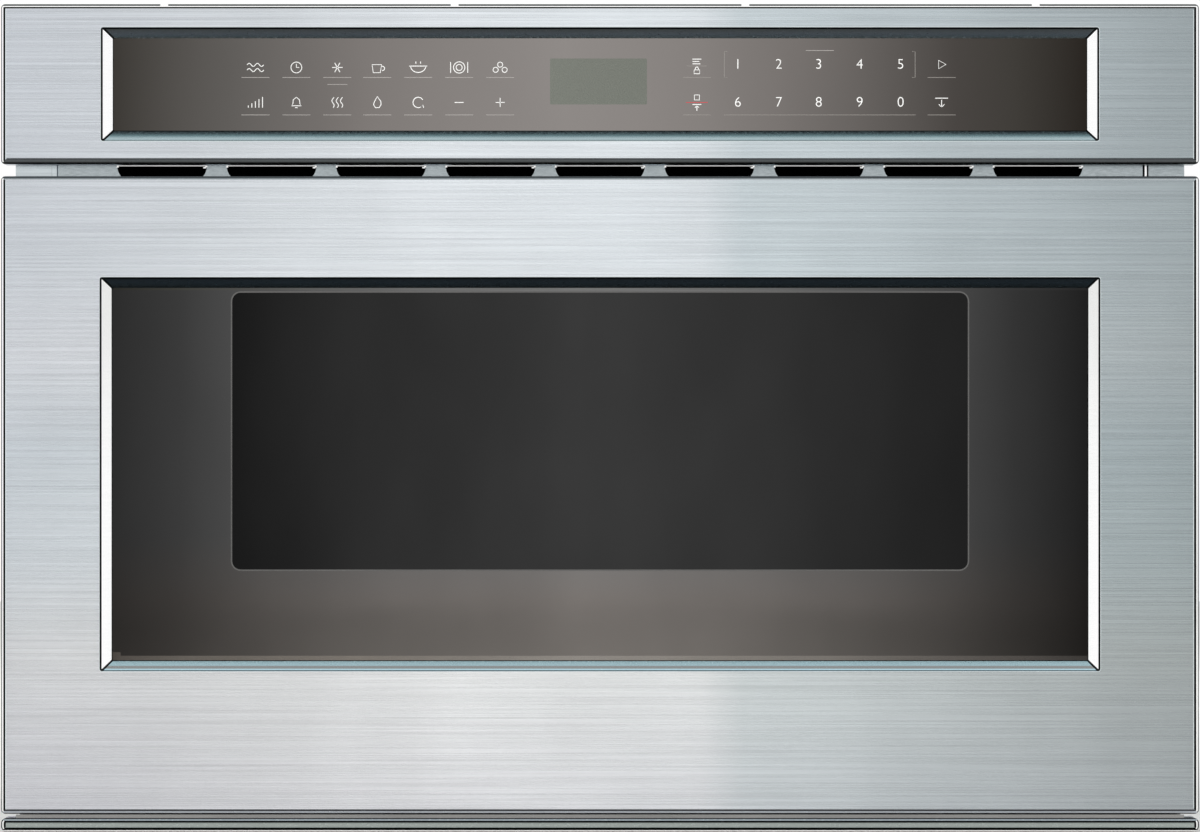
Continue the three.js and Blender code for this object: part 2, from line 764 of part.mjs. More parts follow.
const guideBottom = ceilingTop + pocketHeight + seat;
const guideHeight = 36;
const guideTop = guideBottom + guideHeight;
const guideHalf = 45;
const guideSheet = 1.2;
const guideFrontY = antennaY - 48;
const magnetronSetback = 72; // magnetron and fan, behind the front of the rear bay
const magnetronY = rearBayY + magnetronSetback;
const guideRearY = magnetronY + 34;
const domeRadius = 14;

function waveguide() {
  const outer = rectangle(guideFrontY, guideRearY, guideBottom, guideTop, 3);
  const inner = rectangle(guideFrontY + guideSheet, guideRearY - guideSheet, guideBottom + guideSheet,
    guideTop - guideSheet, 2);
  const innerHalf = guideHalf - guideSheet;
  const duct = cut(alongX(outer, -guideHalf, guideHalf), alongX(inner, -innerHalf, innerHalf));
  const middle = (guideBottom + guideTop) / 2;
  return cut(duct,
    rodZ(couplingRadius, guideBottom - 1, middle, 0, antennaY),
    rodZ(shaftRadius + shaftClearance, middle, guideTop + 1, 0, antennaY, 16),
    rodZ(domeRadius + 2, guideBottom - 1, middle, 0, magnetronY));
}

const antennaRadius = 68;
const antennaSheet = 1;
const antennaBottom = cavityCeiling + 8;
const motorRadius = 24;
const motorHeight = 15;
const motorEar = { length: 62, width: 12, thickness: 1.2 };
const motorPlug = { half: 7, reach: 7, rise: 3, height: 8 };
const motorBottom = guideTop + seat;
const shaftTop = motorBottom + motorHeight - 4;

const antennaSlots = 3;
const antennaSlotWidth = 9;
const antennaSlotInset = 18;
const antennaBridge = 0.7; // radians of plate left between two slots

function stirrerAntenna() {
  const rim = antennaRadius - antennaSlotInset;
  const slots = [];
  for (let i = 0; i < antennaSlots; i += 1) {
    const start = (i * 2 * Math.PI) / antennaSlots;
    const end = start + (2 * Math.PI) / antennaSlots - antennaBridge;
    const slot = new THREE.Shape();
    slot.absarc(0, 0, rim, start, end, false);
    slot.absarc(0, 0, rim - antennaSlotWidth, end, start, true);
    slots.push(extrude(slot, -1, antennaSheet + 1, 4));
  }
  const plate = cut(rodZ(antennaRadius, 0, antennaSheet, 0, 0, 28), ...slots);
  const shaft = rodZ(shaftRadius, -1, shaftTop - antennaBottom, 0, 0, 16);
  const hub = rodZ(shaftRadius + 4, -1, 6, 0, 0, 16);
  return join(plate, hub, shaft);
}

function antennaMotor() {
  const rim = antennaY + motorRadius;
  const can = rodZ(motorRadius, motorBottom, motorBottom + motorHeight, 0, antennaY, 20);
  const ears = alongZ(rectangle(-motorEar.length / 2, motorEar.length / 2, antennaY - motorEar.width / 2,
    antennaY + motorEar.width / 2, 3), motorBottom, motorBottom + motorEar.thickness);
  const plug = box(-motorPlug.half, motorPlug.half, rim - 3, rim + motorPlug.reach,
    motorBottom + motorPlug.rise, motorBottom + motorPlug.rise + motorPlug.height);
  const bore = rodZ(shaftRadius + shaftClearance, motorBottom - 1, shaftTop + 1, 0, antennaY, 16);
  return cut(join(can, ears, plug), bore);
}

const lampSetback = 74.5; // lamp before the back of the cavity
const lampDrop = 47.5; // and under its ceiling
const lampY = cavityBackY - lampSetback;
const lampZ = cavityCeiling - lampDrop;
const lamp = {
  plateHalfY: 20,
  plateHalfZ: 14,
  plate: 1.5,
  socketRadius: 9,
  socketLength: 22,
  tabLength: 9,
  tabHalf: 4,
  tab: 0.8,
};

function cavityLamp() {
  const wall = -(cavityHalf + cavitySheet + seat);
  const socketEnd = wall - lamp.socketLength;
  const flange = rectangle(lampY - lamp.plateHalfY, lampY + lamp.plateHalfY,
    lampZ - lamp.plateHalfZ, lampZ + lamp.plateHalfZ, 3);
  const plate = alongX(flange, wall - lamp.plate, wall);
  const socket = rodX(lamp.socketRadius, socketEnd, wall - 1, lampY, lampZ, 20);
  const tabs = box(socketEnd + 1 - lamp.tabLength, socketEnd + 1, lampY - lamp.tabHalf, lampY + lamp.tabHalf,
    lampZ - lamp.tab / 2, lampZ + lamp.tab / 2);
  return join(plate, socket, tabs);
}

place(cavity, 'cavity_wrap', cavityWrap(), enamel);
place(cavity, 'cavity_back', cavityBack(), enamel);
place(cavity, 'cavity_ceiling', cavityCeilingPlate(), enamel);
place(cavity, 'stirrer_cover', stirrerCover(), whitePlastic);
place(cavity, 'stirrer_antenna', stirrerAntenna(), galvanised, [0, antennaY, antennaBottom]);
place(cavity, 'antenna_motor', antennaMotor(), motorCase);
place(cavity, 'waveguide', waveguide(), galvanised);
place(cavity, 'cavity_lamp', cavityLamp(), whitePlastic);

// ---------------------------------------------------------------- rear bay

const rearBay = section('rear_bay');

const finCount = 5;
const finPitch = 9;
const finSheet = 1;
const yokeHalfX = 44;
const yokeHalfY = 35;
const yokeSheet = 1.6;
const stemRadius = 16;
const anodeRadius = 19;
const ringMagnet = { radius: 27, height: 12 };
const filterBox = { halfX: 34, halfY: 27, height: 26 };
const filterPlug = { reach: 9, halfY: 10, height: 14, drop: 8 };
const dome = { skirt: 20, tip: 6, step: 5 }; // antenna cap of the magnetron, inside the waveguide

function magnetron() {
  const top = yokeTop;
  const bottom = top - yokeHeight;
  const yoke = cut(
    box(-yokeHalfX, yokeHalfX, -yokeHalfY, yokeHalfY, bottom, top),
    box(-yokeHalfX + yokeSheet, yokeHalfX - yokeSheet, -yokeHalfY - 1, yokeHalfY + 1,
      bottom + yokeSheet, top - yokeSheet),
  );
  const domeTop = guideBottom + dome.skirt;
  const plugTop = bottom - filterPlug.drop;
  const pieces = [
    yoke,
    rodZ(anodeRadius, bottom + 1, top - 1, 0, 0),
    rodZ(ringMagnet.radius, bottom + 1, bottom + 1 + ringMagnet.height, 0, 0),
    rodZ(ringMagnet.radius, top - 1 - ringMagnet.height, top - 1, 0, 0),
    rodZ(stemRadius, top - 1, magnetronTop - 1, 0, 0),
    box(-yokeHalfX, yokeHalfX, -yokeHalfY, yokeHalfY, magnetronTop - magnetronFlange, magnetronTop),
    rodZ(domeRadius, magnetronTop - 1, domeTop, 0, 0),
    rodZ(domeRadius - dome.step, domeTop - 1, domeTop + dome.tip, 0, 0, 16),
    box(-filterBox.halfX, filterBox.halfX, -filterBox.halfY, filterBox.halfY,
      bottom - filterBox.height, bottom + 0.5),
    box(filterBox.halfX - 1, filterBox.halfX + filterPlug.reach, -filterPlug.halfY, filterPlug.halfY,
      plugTop - filterPlug.height, plugTop),
  ];
  const finMiddle = (bottom + top) / 2;
  for (let i = 0; i < finCount; i += 1) {
    const z = finMiddle + (i - (finCount - 1) / 2) * finPitch;
    pieces.push(box(-yokeHalfX + 0.5, yokeHalfX - 0.5, -yokeHalfY + 3, yokeHalfY - 3,
      z - finSheet / 2, z + finSheet / 2));
  }
  return join(...pieces);
}

const transformerSetback = 70;
const transformer = {
  x: transformerX,
  y: rearBayY + transformerSetback,
  width: 104,
  depth: 76,
  height: 84,
  foot: 2,
  footReach: 10, // of the foot plate, in front of the core and behind it
  limb: 17, // half of the middle limb
  window: 16, // width of each opening in the core
  yoke: 16, // iron over and under the openings
  coilReach: 15, // of the coils, in front of the core and behind it
  primary: 21, // height of the lower coil
  coilGap: 4,
};

function highVoltageTransformer() {
  const { x, y, width, depth, height, foot, footReach, limb, window, yoke, coilReach, primary, coilGap } = transformer;
  const half = width / 2;
  const top = onPan + height;
  const core = alongY(rectangle(x - half, x + half, onPan, top, 3), y - depth / 2, y + depth / 2);
  const windows = [-1, 1].map((side) => {
    const middle = x + side * (limb + window / 2);
    return box(middle - window / 2, middle + window / 2, y - depth, y + depth, onPan + yoke, top - yoke);
  });
  const coilHalf = limb + window - 1;
  const coil = (z0, z1) => {
    const outside = rectangle(x - coilHalf, x + coilHalf,
      y - depth / 2 - coilReach, y + depth / 2 + coilReach, 12);
    return alongZ(outside, z0, z1);
  };
  const coilFoot = onPan + yoke + 1;
  const feet = box(x - half, x + half, y - depth / 2 - footReach, y + depth / 2 + footReach, onPan, onPan + foot);
  return join(
    cut(core, ...windows),
    coil(coilFoot, coilFoot + primary),
    coil(coilFoot + primary + coilGap, top - yoke - 1),
    feet,
  );
}

const canX = -130;
const canSetback = 40;
const can = {
  x: canX,
  y: rearBayY + canSetback,
  length: 56,
  width: 34,
  height: 92,
  seam: 3,
  terminal: 12, // each terminal's distance from the middle, and its height
  terminalHalf: 3,
  tab: 0.8,
  bushRadius: 5,
  bushHeight: 4,
};

function capacitor() {
  const { x, y, length, width, height, seam, terminal, terminalHalf, tab, bushRadius, bushHeight } = can;
  const round = width / 2 - 0.01;
  const lid = onPan + height - 1;
  const body = alongZ(rectangle(x - length / 2, x + length / 2, y - width / 2, y + width / 2, round), onPan, lid + 1);
  const rim = alongZ(rectangle(x - length / 2 - 1, x + length / 2 + 1, y - width / 2 - 1, y + width / 2 + 1, round),
    lid - seam, lid);
  const posts = [-1, 1].map((side) => box(x + side * terminal - terminalHalf, x + side * terminal + terminalHalf,
    y - tab / 2, y + tab / 2, lid, lid + 1 + terminal));
  const bushes = [-1, 1].map((side) => rodZ(bushRadius, lid, lid + 1 + bushHeight, x + side * terminal, y, 12));
  return join(body, rim, ...posts, ...bushes);
}

const filterMargin = 71.8; // noise filter to the side of the case
const filterDrop = 72.5; // and under its top
const filter = {
  x: filterMargin - caseInner,
  z: caseTopUnder - filterDrop,
  width: 76,
  height: 58,
  board: 1.6,
  standoff: 5.4,
  pegRadius: 3,
  pegInset: 5,
  chokeX: -14,
  chokeRadius: 14,
  chokeHeight: 15,
  blockX: 20,
  blockHalfX: 10,
  blockHalfZ: 12,
  blockHeight: 13,
  fuseRadius: 3,
  fuseLength: 28,
  fuseRise: 21,
};

function noiseFilter() {
  const { x, z, width, height } = filter;
  const boardRear = caseRearY - filter.standoff;
  const boardFront = boardRear - filter.board;
  const board = alongY(rectangle(x - width / 2, x + width / 2, z - height / 2, z + height / 2, 2),
    boardFront, boardRear);
  const pegs = [[-1, -1], [-1, 1], [1, -1], [1, 1]].map(([sx, sz]) => rodY(filter.pegRadius, boardRear - 0.6,
    caseRearY, x + sx * (width / 2 - filter.pegInset), z + sz * (height / 2 - filter.pegInset), 10));
  const choke = rodY(filter.chokeRadius, boardFront - filter.chokeHeight, boardFront + 0.5, x + filter.chokeX, z, 20);
  const blockX = x + filter.blockX;
  const block = box(blockX - filter.blockHalfX, blockX + filter.blockHalfX, boardFront - filter.blockHeight,
    boardFront + 0.5, z - filter.blockHalfZ, z + filter.blockHalfZ);
  const fuseX = blockX - 2;
  const fuse = rodX(filter.fuseRadius, fuseX - filter.fuseLength / 2, fuseX + filter.fuseLength / 2,
    boardFront - 2, z + filter.fuseRise, 8);
  return join(board, ...pegs, choke, block, fuse);
}

const gland = { bore: 4, waist: 5.5, nose: 16, grip: 6, flange: 4 };

function cableGland() {
  const neck = glandRadius - seat;
  const panelInside = caseRearY - rearY; // the panel's inner face, from its outer one
  const { bore, waist, nose, grip, flange } = gland;
  return turned([
    [bore, 0], [bore, panelInside - nose], [waist, panelInside - nose], [waist + 2, panelInside - grip],
    [neck + flange, panelInside - flange], [neck + flange, panelInside], [neck, panelInside], [neck, 0], [bore, 0],
  ], 16).rotateX(-Math.PI / 2).translate(glandX, rearY, glandZ);
}

const fanRadius = 55;
const fanTipGap = 3;
const fanBlades = 5;
const fanHubRadius = 17;
const fanDepth = 18;
const bladeSheet = 1.6;
const bladeRoot = { radius: fanHubRadius - 2, half: 9, pitch: 0.95 };
const bladeTip = { radius: fanRadius, half: 17, pitch: 0.42 };
const shroudX = fanX + 13;
const shroudSheet = 1.5;
const shroudRing = 22;
const fanMotorGap = 12;
const fanMotorDepth = 30;
const fanMotorX = fanX - fanDepth / 2 - fanMotorGap;
const fanShaftRadius = 3;
const fanShaftGrip = 14; // shaft inside the motor
const fanStack = { halfY: 28, halfZ: 24, front: 4, rear: 9 };
const fanBearingRadius = 20;
const fanCoil = { halfY: 17, top: 22, bottom: 42, front: 2, rear: 4 };

// One blade, twisted from root to tip, on a hub that turns about X
function fanBlade(angle) {
  const steps = 4;
  const points = [];
  for (let i = 0; i <= steps; i += 1) {
    const t = i / steps;
    const radius = THREE.MathUtils.lerp(bladeRoot.radius, bladeTip.radius, t);
    const half = THREE.MathUtils.lerp(bladeRoot.half, bladeTip.half, t);
    const pitch = THREE.MathUtils.lerp(bladeRoot.pitch, bladeTip.pitch, t);
    const chord = [Math.sin(pitch) * half, Math.cos(pitch) * half];
    const normal = [Math.cos(pitch) * bladeSheet / 2, -Math.sin(pitch) * bladeSheet / 2];
    for (const [c, n] of [[-1, -1], [1, -1], [1, 1], [-1, 1]]) {
      points.push(c * chord[0] + n * normal[0], c * chord[1] + n * normal[1], radius);
    }
  }
  const faces = [0, 1, 2, 0, 2, 3];
  for (let i = 0; i < steps; i += 1) {
    for (let k = 0; k < 4; k += 1) {
      const a = 4 * i + k;
      const b = 4 * i + ((k + 1) % 4);
      faces.push(a, a + 4, b + 4, a, b + 4, b);
    }
  }
  const last = 4 * steps;
  faces.push(last, last + 2, last + 1, last, last + 3, last + 2);
  const geometry = new THREE.BufferGeometry();
  geometry.setAttribute('position', new THREE.Float32BufferAttribute(points, 3));
  geometry.setIndex(faces);
  return geometry.rotateX(angle);
}

function fanImpeller() {
  const hub = rodX(fanHubRadius, -fanDepth / 2, fanDepth / 2, 0, 0, 20);
  const shaft = rodX(fanShaftRadius, -fanDepth / 2 - fanMotorGap - fanShaftGrip, 0, 0, 0, 12);
  const pieces = [hub, shaft];
  for (let i = 0; i < fanBlades; i += 1) pieces.push(fanBlade((i * 2 * Math.PI) / fanBlades));
  return join(...pieces);
}

const fanY = rearBayY + magnetronSetback;
const shroudHalf = 78;
const armHeight = 9;
const armCount = 3;
const armRoot = 16; // arm's inner end, from the fan's axis
const armSheetX = 2;

function fanShroud() {
  const plate = rectangle(rearBayY, caseRearY, fanZ - shroudHalf, fanZ + shroudHalf, 3);
  const hole = new THREE.Path();
  const inner = fanRadius + fanTipGap;
  hole.absarc(fanY, fanZ, inner, 0, 2 * Math.PI, true);
  plate.holes.push(hole);
  const fine = { depth: shroudSheet, bevelEnabled: false, curveSegments: 10 };
  const sheet = new THREE.ExtrudeGeometry(plate, fine).translate(0, 0, shroudX).applyMatrix4(profileYZ);
  const tube = cut(rodX(inner + shroudSheet, shroudX - shroudRing, shroudX + shroudSheet, fanY, fanZ, 24),
    rodX(inner, shroudX - shroudRing - 1, shroudX + shroudSheet + 1, fanY, fanZ, 24));
  const armRear = shroudX - shroudRing;
  const armFront = fanMotorX + seat;
  const arms = [];
  for (let i = 0; i < armCount; i += 1) {
    const angle = (i * 2 * Math.PI) / armCount;
    const arm = join(
      box(armFront, armFront + armSheetX, -armHeight / 2, armHeight / 2, armRoot, inner + shroudSheet),
      box(armFront, armRear + 3, -armHeight / 2, armHeight / 2, inner, inner + shroudSheet),
    );
    arms.push(arm.rotateX(angle).translate(0, fanY, fanZ));
  }
  return join(sheet, tube, ...arms);
}

function fanMotor() {
  const front = fanMotorX;
  const rear = front - fanMotorDepth;
  const stack = alongX(rectangle(fanY - fanStack.halfY, fanY + fanStack.halfY,
    fanZ - fanStack.halfZ, fanZ + fanStack.halfZ, 3), rear + fanStack.rear, front - fanStack.front);
  const bearing = rodX(fanBearingRadius, rear, front, fanY, fanZ, 24);
  const coil = alongX(rectangle(fanY - fanCoil.halfY, fanY + fanCoil.halfY,
    fanZ - fanCoil.bottom, fanZ - fanCoil.top, 5), rear + fanCoil.rear, front - fanCoil.front);
  const bore = rodX(fanShaftRadius + shaftClearance, rear + 12, front + 1, fanY, fanZ, 12);
  return cut(join(stack, bearing, coil), bore);
}

const duct = { x0: pocketRadius + 25, x1: ceilingHalf - 4, height: 59.5, sheet: 1.2, foot: 10 };

function exhaustDuct() {
  const low = ceilingTop + seat;
  const floor = low + duct.sheet;
  const roof = low + duct.height - duct.sheet;
  const left = duct.x0 + duct.sheet;
  const right = duct.x1 - duct.sheet;
  const line = [
    [left - duct.foot, floor], [left, floor], [left, roof], [right, roof], [right, floor], [right + duct.foot, floor],
  ];
  return alongY(sheetShape(line, duct.sheet), frameRearY + frameLip + seat, cavityBackY - seat);
}

place(rearBay, 'magnetron', magnetron(), motorCase, [0, magnetronY, 0]);
place(rearBay, 'transformer', highVoltageTransformer(), copper);
place(rearBay, 'capacitor', capacitor(), motorCase);
place(rearBay, 'noise_filter', noiseFilter(), circuitBoard);
place(rearBay, 'cable_gland', cableGland(), blackPlastic);
place(rearBay, 'fan_impeller', fanImpeller(), whitePlastic, [fanX, fanY, fanZ]);
place(rearBay, 'fan_shroud', fanShroud(), galvanised);
place(rearBay, 'fan_motor', fanMotor(), motorCase);
place(rearBay, 'exhaust_duct', exhaustDuct(), galvanised);

// ---------------------------------------------------------------- drive

const drive = section('drive');

const gearWidth = 11;
const gearShaftRadius = 4;
const uprightHalf = rackWidth / 2 + 6;
const bracketSheet = 1.5;
const bracketFrontY = pinionY - 24;
const bracketRearY = pinionY + 38;
const bracketTop = rackRoot + 2;
const gearboxDepth = 24;
const motorY = pinionY + 18;
const motorCanRadius = 18;
const motorCanLength = 56;
const gearbox = { front: 20, rear: 40, rise: 2, headroom: 5, corner: 8 }; // round the pinion's axis
const gearBoss = { radius: 11, length: 4 };
const motorEndCap = { radius: 6, length: 4 };

// Half the angle of a tooth at the given radius, for an involute tooth
function toothHalfAngle(radius) {
  const base = pitchRadius * Math.cos(pressureAngle);
  const involute = (angle) => Math.tan(angle) - angle;
  const atPitch = Math.PI / (2 * pinionTeeth) - gearBacklash / (4 * pitchRadius);
  return atPitch + involute(pressureAngle) - involute(Math.acos(Math.min(1, base / radius)));
}

function drivePinion() {
  const base = pitchRadius * Math.cos(pressureAngle);
  const root = pitchRadius - dedendum * gearModule;
  const tip = pitchRadius + gearModule;
  const flankSteps = 2;
  const start = Math.max(base, root);
  const outline = [];
  for (let tooth = 0; tooth < pinionTeeth; tooth += 1) {
    const middle = Math.PI / 2 + (tooth * 2 * Math.PI) / pinionTeeth;
    const flank = [];
    for (let i = 0; i <= flankSteps; i += 1) {
      const radius = THREE.MathUtils.lerp(start, tip, i / flankSteps);
      flank.push([radius, toothHalfAngle(radius)]);
    }
    const foot = [root, toothHalfAngle(start)];
    const rising = [foot, ...flank];
    for (const [radius, half] of rising) outline.push([radius, middle - half]);
    for (const [radius, half] of rising.slice().reverse()) outline.push([radius, middle + half]);
  }
  const shape = new THREE.Shape(outline.map(([radius, angle]) => (
    new THREE.Vector2(radius * Math.cos(angle), radius * Math.sin(angle)))));
  const shaft = rodX(gearShaftRadius, -uprightHalf - 3, uprightHalf + gearboxDepth - 6, 0, 0, 16);
  const hub = rodX(gearShaftRadius + 3, -gearWidth / 2 - 2.5, gearWidth / 2 + 2.5, 0, 0, 16);
  return join(alongX(shape, -gearWidth / 2, gearWidth / 2), shaft, hub);
}

const rackFrontY = glassRearY + seat + skinSheet + seat;
const toothPitch = Math.PI * gearModule;
const teethAhead = 4; // rack teeth in front of the pinion, drawer shut
const teethBehind = Math.ceil(drawerTravel / toothPitch) + 4;
const rackFoot = { half: 22, sheet: 3, drop: 4, rise: 2 };

function rack() {
  const halfTooth = toothPitch / 4 - gearBacklash / 4;
  const slope = Math.tan(pressureAngle);
  const crest = halfTooth - gearModule * slope;
  const foot = halfTooth + dedendum * gearModule * slope;
  const first = pinionY - (teethAhead + 0.5) * toothPitch;
  const count = teethAhead + teethBehind + 1;
  const rearEnd = first + count * toothPitch;
  const line = [[rackFrontY, rackTop], [rackFrontY, rackRoot]];
  for (let i = 0; i < count; i += 1) {
    const y = first + i * toothPitch;
    line.push([y - foot, rackRoot], [y - crest, pitchLine - gearModule]);
    line.push([y + crest, pitchLine - gearModule], [y + foot, rackRoot]);
  }
  line.push([rearEnd, rackRoot], [rearEnd, rackTop]);
  const profile = new THREE.Shape(line.map(([y, z]) => new THREE.Vector2(y, z)));
  const bar = alongX(profile, -rackWidth / 2, rackWidth / 2);
  const flange = box(-rackFoot.half, rackFoot.half, rackFrontY, rackFrontY + rackFoot.sheet,
    rackRoot - rackFoot.drop, rackTop + rackFoot.rise);
  return join(bar, flange);
}

const guideRunGap = 0.5;
const guideWall = 1.6;
const guideWing = 28;

function rackGuide() {
  const top = cavityFloor - cavitySheet - seat;
  const inner = rackWidth / 2 + guideRunGap;
  const wall = guideWall;
  const outer = inner + wall;
  const roof = rackTop + guideRunGap;
  const low = rackRoot + 1.5;
  const wing = guideWing;
  const shape = new THREE.Shape();
  shape.moveTo(-wing, top).lineTo(-wing, top - wall).lineTo(-outer, top - wall).lineTo(-outer, low);
  shape.lineTo(-inner, low).lineTo(-inner, roof).lineTo(inner, roof).lineTo(inner, low);
  shape.lineTo(outer, low).lineTo(outer, top - wall).lineTo(wing, top - wall).lineTo(wing, top).closePath();
  shape.holes.push(rectangle(-inner, inner, roof + wall, top - wall));
  const front = frameRearY + frameLip + seat;
  const rear = pinionY + (teethBehind + 1.5) * toothPitch;
  return alongY(shape, front, rear);
}

function driveBracket() {
  const low = onPan;
  const line = [[-uprightHalf, bracketTop], [-uprightHalf, low], [uprightHalf, low], [uprightHalf, bracketTop]];
  const sheet = alongY(sheetShape(line, bracketSheet), bracketFrontY, bracketRearY);
  return cut(sheet, rodX(gearShaftRadius + shaftClearance, -uprightHalf - 1, uprightHalf + 1, pinionY, pinionZ, 16));
}

function gearMotor() {
  const x0 = uprightHalf + seat;
  const x1 = x0 + gearboxDepth;
  const x2 = x1 + motorCanLength;
  const z0 = onPan + gearbox.rise;
  const z1 = bracketTop + gearbox.headroom;
  const side = rectangle(pinionY - gearbox.front, pinionY + gearbox.rear, z0, z1, gearbox.corner);
  const housing = alongX(side, x0, x1);
  const boss = rodX(gearBoss.radius, x1 - 1, x1 + gearBoss.length, pinionY, pinionZ, 20);
  const middle = (z0 + z1) / 2;
  const body = rodX(motorCanRadius, x1 - 1, x2, motorY, middle, 20);
  const cap = rodX(motorEndCap.radius, x2 - 1, x2 + motorEndCap.length, motorY, middle, 16);
  const bore = rodX(gearShaftRadius + shaftClearance, x0 - 1, x1 - 5, pinionY, pinionZ, 16);
  return cut(join(housing, boss, body, cap), bore);
}

place(drive, 'drive_pinion', drivePinion(), acetal, [0, pinionY, pinionZ]);
place(drive, 'drive_bracket', driveBracket(), galvanised);
place(drive, 'gear_motor', gearMotor(), motorCase);
place(drive, 'rack_guide', rackGuide(), acetal);

// ---------------------------------------------------------------- slides and interlocks

const slides = section('slides');

const slideSheet = 1.5;
const slideGap = 0.4; // between one member's raceway and the next
const outerReach = 15;
const middleStart = 3;
const middleReach = 14;
const innerStart = 6;
const innerReach = 19;
const slideFrontY = caseFrontY + 0.6;
const slideLength = caseRearY - slideRearRoom - slideFrontY;

// A channel whose web stands at depth web from the case side and whose lips reach depth tip
function slideChannel(side, web, tip, height, from, to) {
  const wall = caseInner - seat;
  const half = height / 2;
  const opensInwards = tip > web;
  const line = [
    [wall - tip, slideZ + half], [wall - web, slideZ + half], [wall - web, slideZ - half], [wall - tip, slideZ - half],
  ];
  const ordered = opensInwards ? line.reverse() : line;
  const placed = side > 0 ? ordered : ordered.map(([x, z]) => [-x, z]).reverse();
  return alongY(sheetShape(placed, slideSheet), from, to);
}

const middleHeight = slideHeight - 2 * (slideSheet + slideGap);
const innerHeight = middleHeight - 2 * (slideSheet + slideGap);

function slideOuter(side) {
  return slideChannel(side, 0, outerReach, slideHeight, slideFrontY, slideFrontY + slideLength);
}

function slideMiddle(side) {
  return slideChannel(side, middleStart, middleReach, middleHeight, slideFrontY, slideFrontY + slideLength - 6);
}

const armHalf = 17;
const armReach = 150;
const armSheet = 2;
const armFoot = 30;
const armFootRise = 8; // foot over and under the arm
const gussetLeg = { across: 26, along: 18 };

function slideInner(side) {
  const channel = slideChannel(side, innerReach, innerStart, innerHeight, slideFrontY, slideFrontY + slideLength - 12);
  const web = caseInner - seat - innerReach - armSheet;
  const [x0, x1] = outward(side, web, web + armSheet + 0.5);
  const [f0, f1] = outward(side, web, web + armFoot);
  const footHalf = armHalf + armFootRise;
  const arm = box(x0, x1, rackFrontY, slideFrontY + armReach, slideZ - armHalf, slideZ + armHalf);
  const foot = box(f0, f1, rackFrontY, rackFrontY + armSheet, slideZ - footHalf, slideZ + footHalf);
  const corner = new THREE.Shape();
  corner.moveTo(0, 0).lineTo(gussetLeg.across, 0).lineTo(0, gussetLeg.along).closePath();
  const gusset = extrude(corner, -armSheet / 2, armSheet / 2);
  if (side < 0) gusset.applyMatrix4(new THREE.Matrix4().makeRotationY(Math.PI));
  gusset.translate(side * (web + armSheet / 2), rackFrontY + armSheet / 2, slideZ);
  return join(channel, arm, foot, gusset);
}

const tongueWidth = 8;
const tongueHeight = 8;
const tongueTip = 2; // chamfer at the tip
const tongueFoot = { half: 12, sheet: 2.5, drop: 3, ramp: 4, rampFrom: 3, rampTo: 8 };
const tongueTipY = frameRearY + 17;
const switchHalf = 15;
const switchDepth = 42;
const switchRise = 10; // over the key
const channelGap = 1.5; // round the tongue
const boreGap = 0.3; // round the plunger
const switchFrontY = frameRearY + seat;
const channelDepth = 24;
const plungerRadius = 2.6;
const plungerReach = 16;
const plungerTravel = 1;

function interlockTongue(side) {
  const x = side * keyX;
  const half = tongueWidth / 2;
  const low = keyZ - tongueHeight / 2;
  const high = keyZ + tongueHeight / 2;
  const shape = new THREE.Shape();
  shape.moveTo(rackFrontY, low - tongueFoot.ramp).lineTo(rackFrontY + tongueFoot.rampFrom, low - tongueFoot.ramp);
  shape.lineTo(rackFrontY + tongueFoot.rampTo, low).lineTo(tongueTipY - tongueTip, low);
  shape.lineTo(tongueTipY, low + tongueTip).lineTo(tongueTipY, high - tongueTip);
  shape.lineTo(tongueTipY - tongueTip, high).lineTo(rackFrontY, high).closePath();
  const blade = alongX(shape, x - half, x + half);
  const foot = box(x - tongueFoot.half, x + tongueFoot.half, rackFrontY, rackFrontY + tongueFoot.sheet,
    low - tongueFoot.drop, high);
  return join(blade, foot);
}

function interlockSwitch(side) {
  const x = side * keyX;
  const low = ceilingTop + seat + frameSheet + seat;
  const halfX = tongueWidth / 2 + channelGap;
  const halfZ = tongueHeight / 2 + channelGap;
  const outline = rectangle(switchFrontY, switchFrontY + switchDepth, low, keyZ + switchRise, 2);
  const body = alongX(outline, x - switchHalf, x + switchHalf);
  const channelEnd = switchFrontY + channelDepth;
  const channel = box(x - halfX, x + halfX, switchFrontY - 1, channelEnd, keyZ - halfZ, keyZ + halfZ);
  const boreEnd = tongueTipY + seat + plungerReach + plungerTravel + 0.5;
  const bore = rodY(plungerRadius + boreGap, channelEnd - 1, boreEnd, x, keyZ, 12);
  return cut(body, channel, bore);
}

// Stands in front of its own origin, which is the plunger's tip
function interlockPlunger() {
  const pin = rodY(plungerRadius, 0, plungerReach, 0, 0, 12);
  const collarY = switchFrontY + channelDepth - tongueTipY - seat - plungerTravel - seat;
  const collar = rodY(plungerRadius + 1.6, collarY - 1.5, collarY, 0, 0, 12);
  return join(pin, collar);
}

for (const [name, side] of sides) {
  place(slides, `slide_outer_${name}`, slideOuter(side), galvanised);
  place(slides, `slide_middle_${name}`, slideMiddle(side), galvanised);
  place(slides, `interlock_switch_${name}`, interlockSwitch(side), blackPlastic);
  place(slides, `interlock_plunger_${name}`, interlockPlunger(), acetal, [side * keyX, tongueTipY + seat, keyZ]);
}

// ---------------------------------------------------------------- drawer

const drawer = section('drawer');

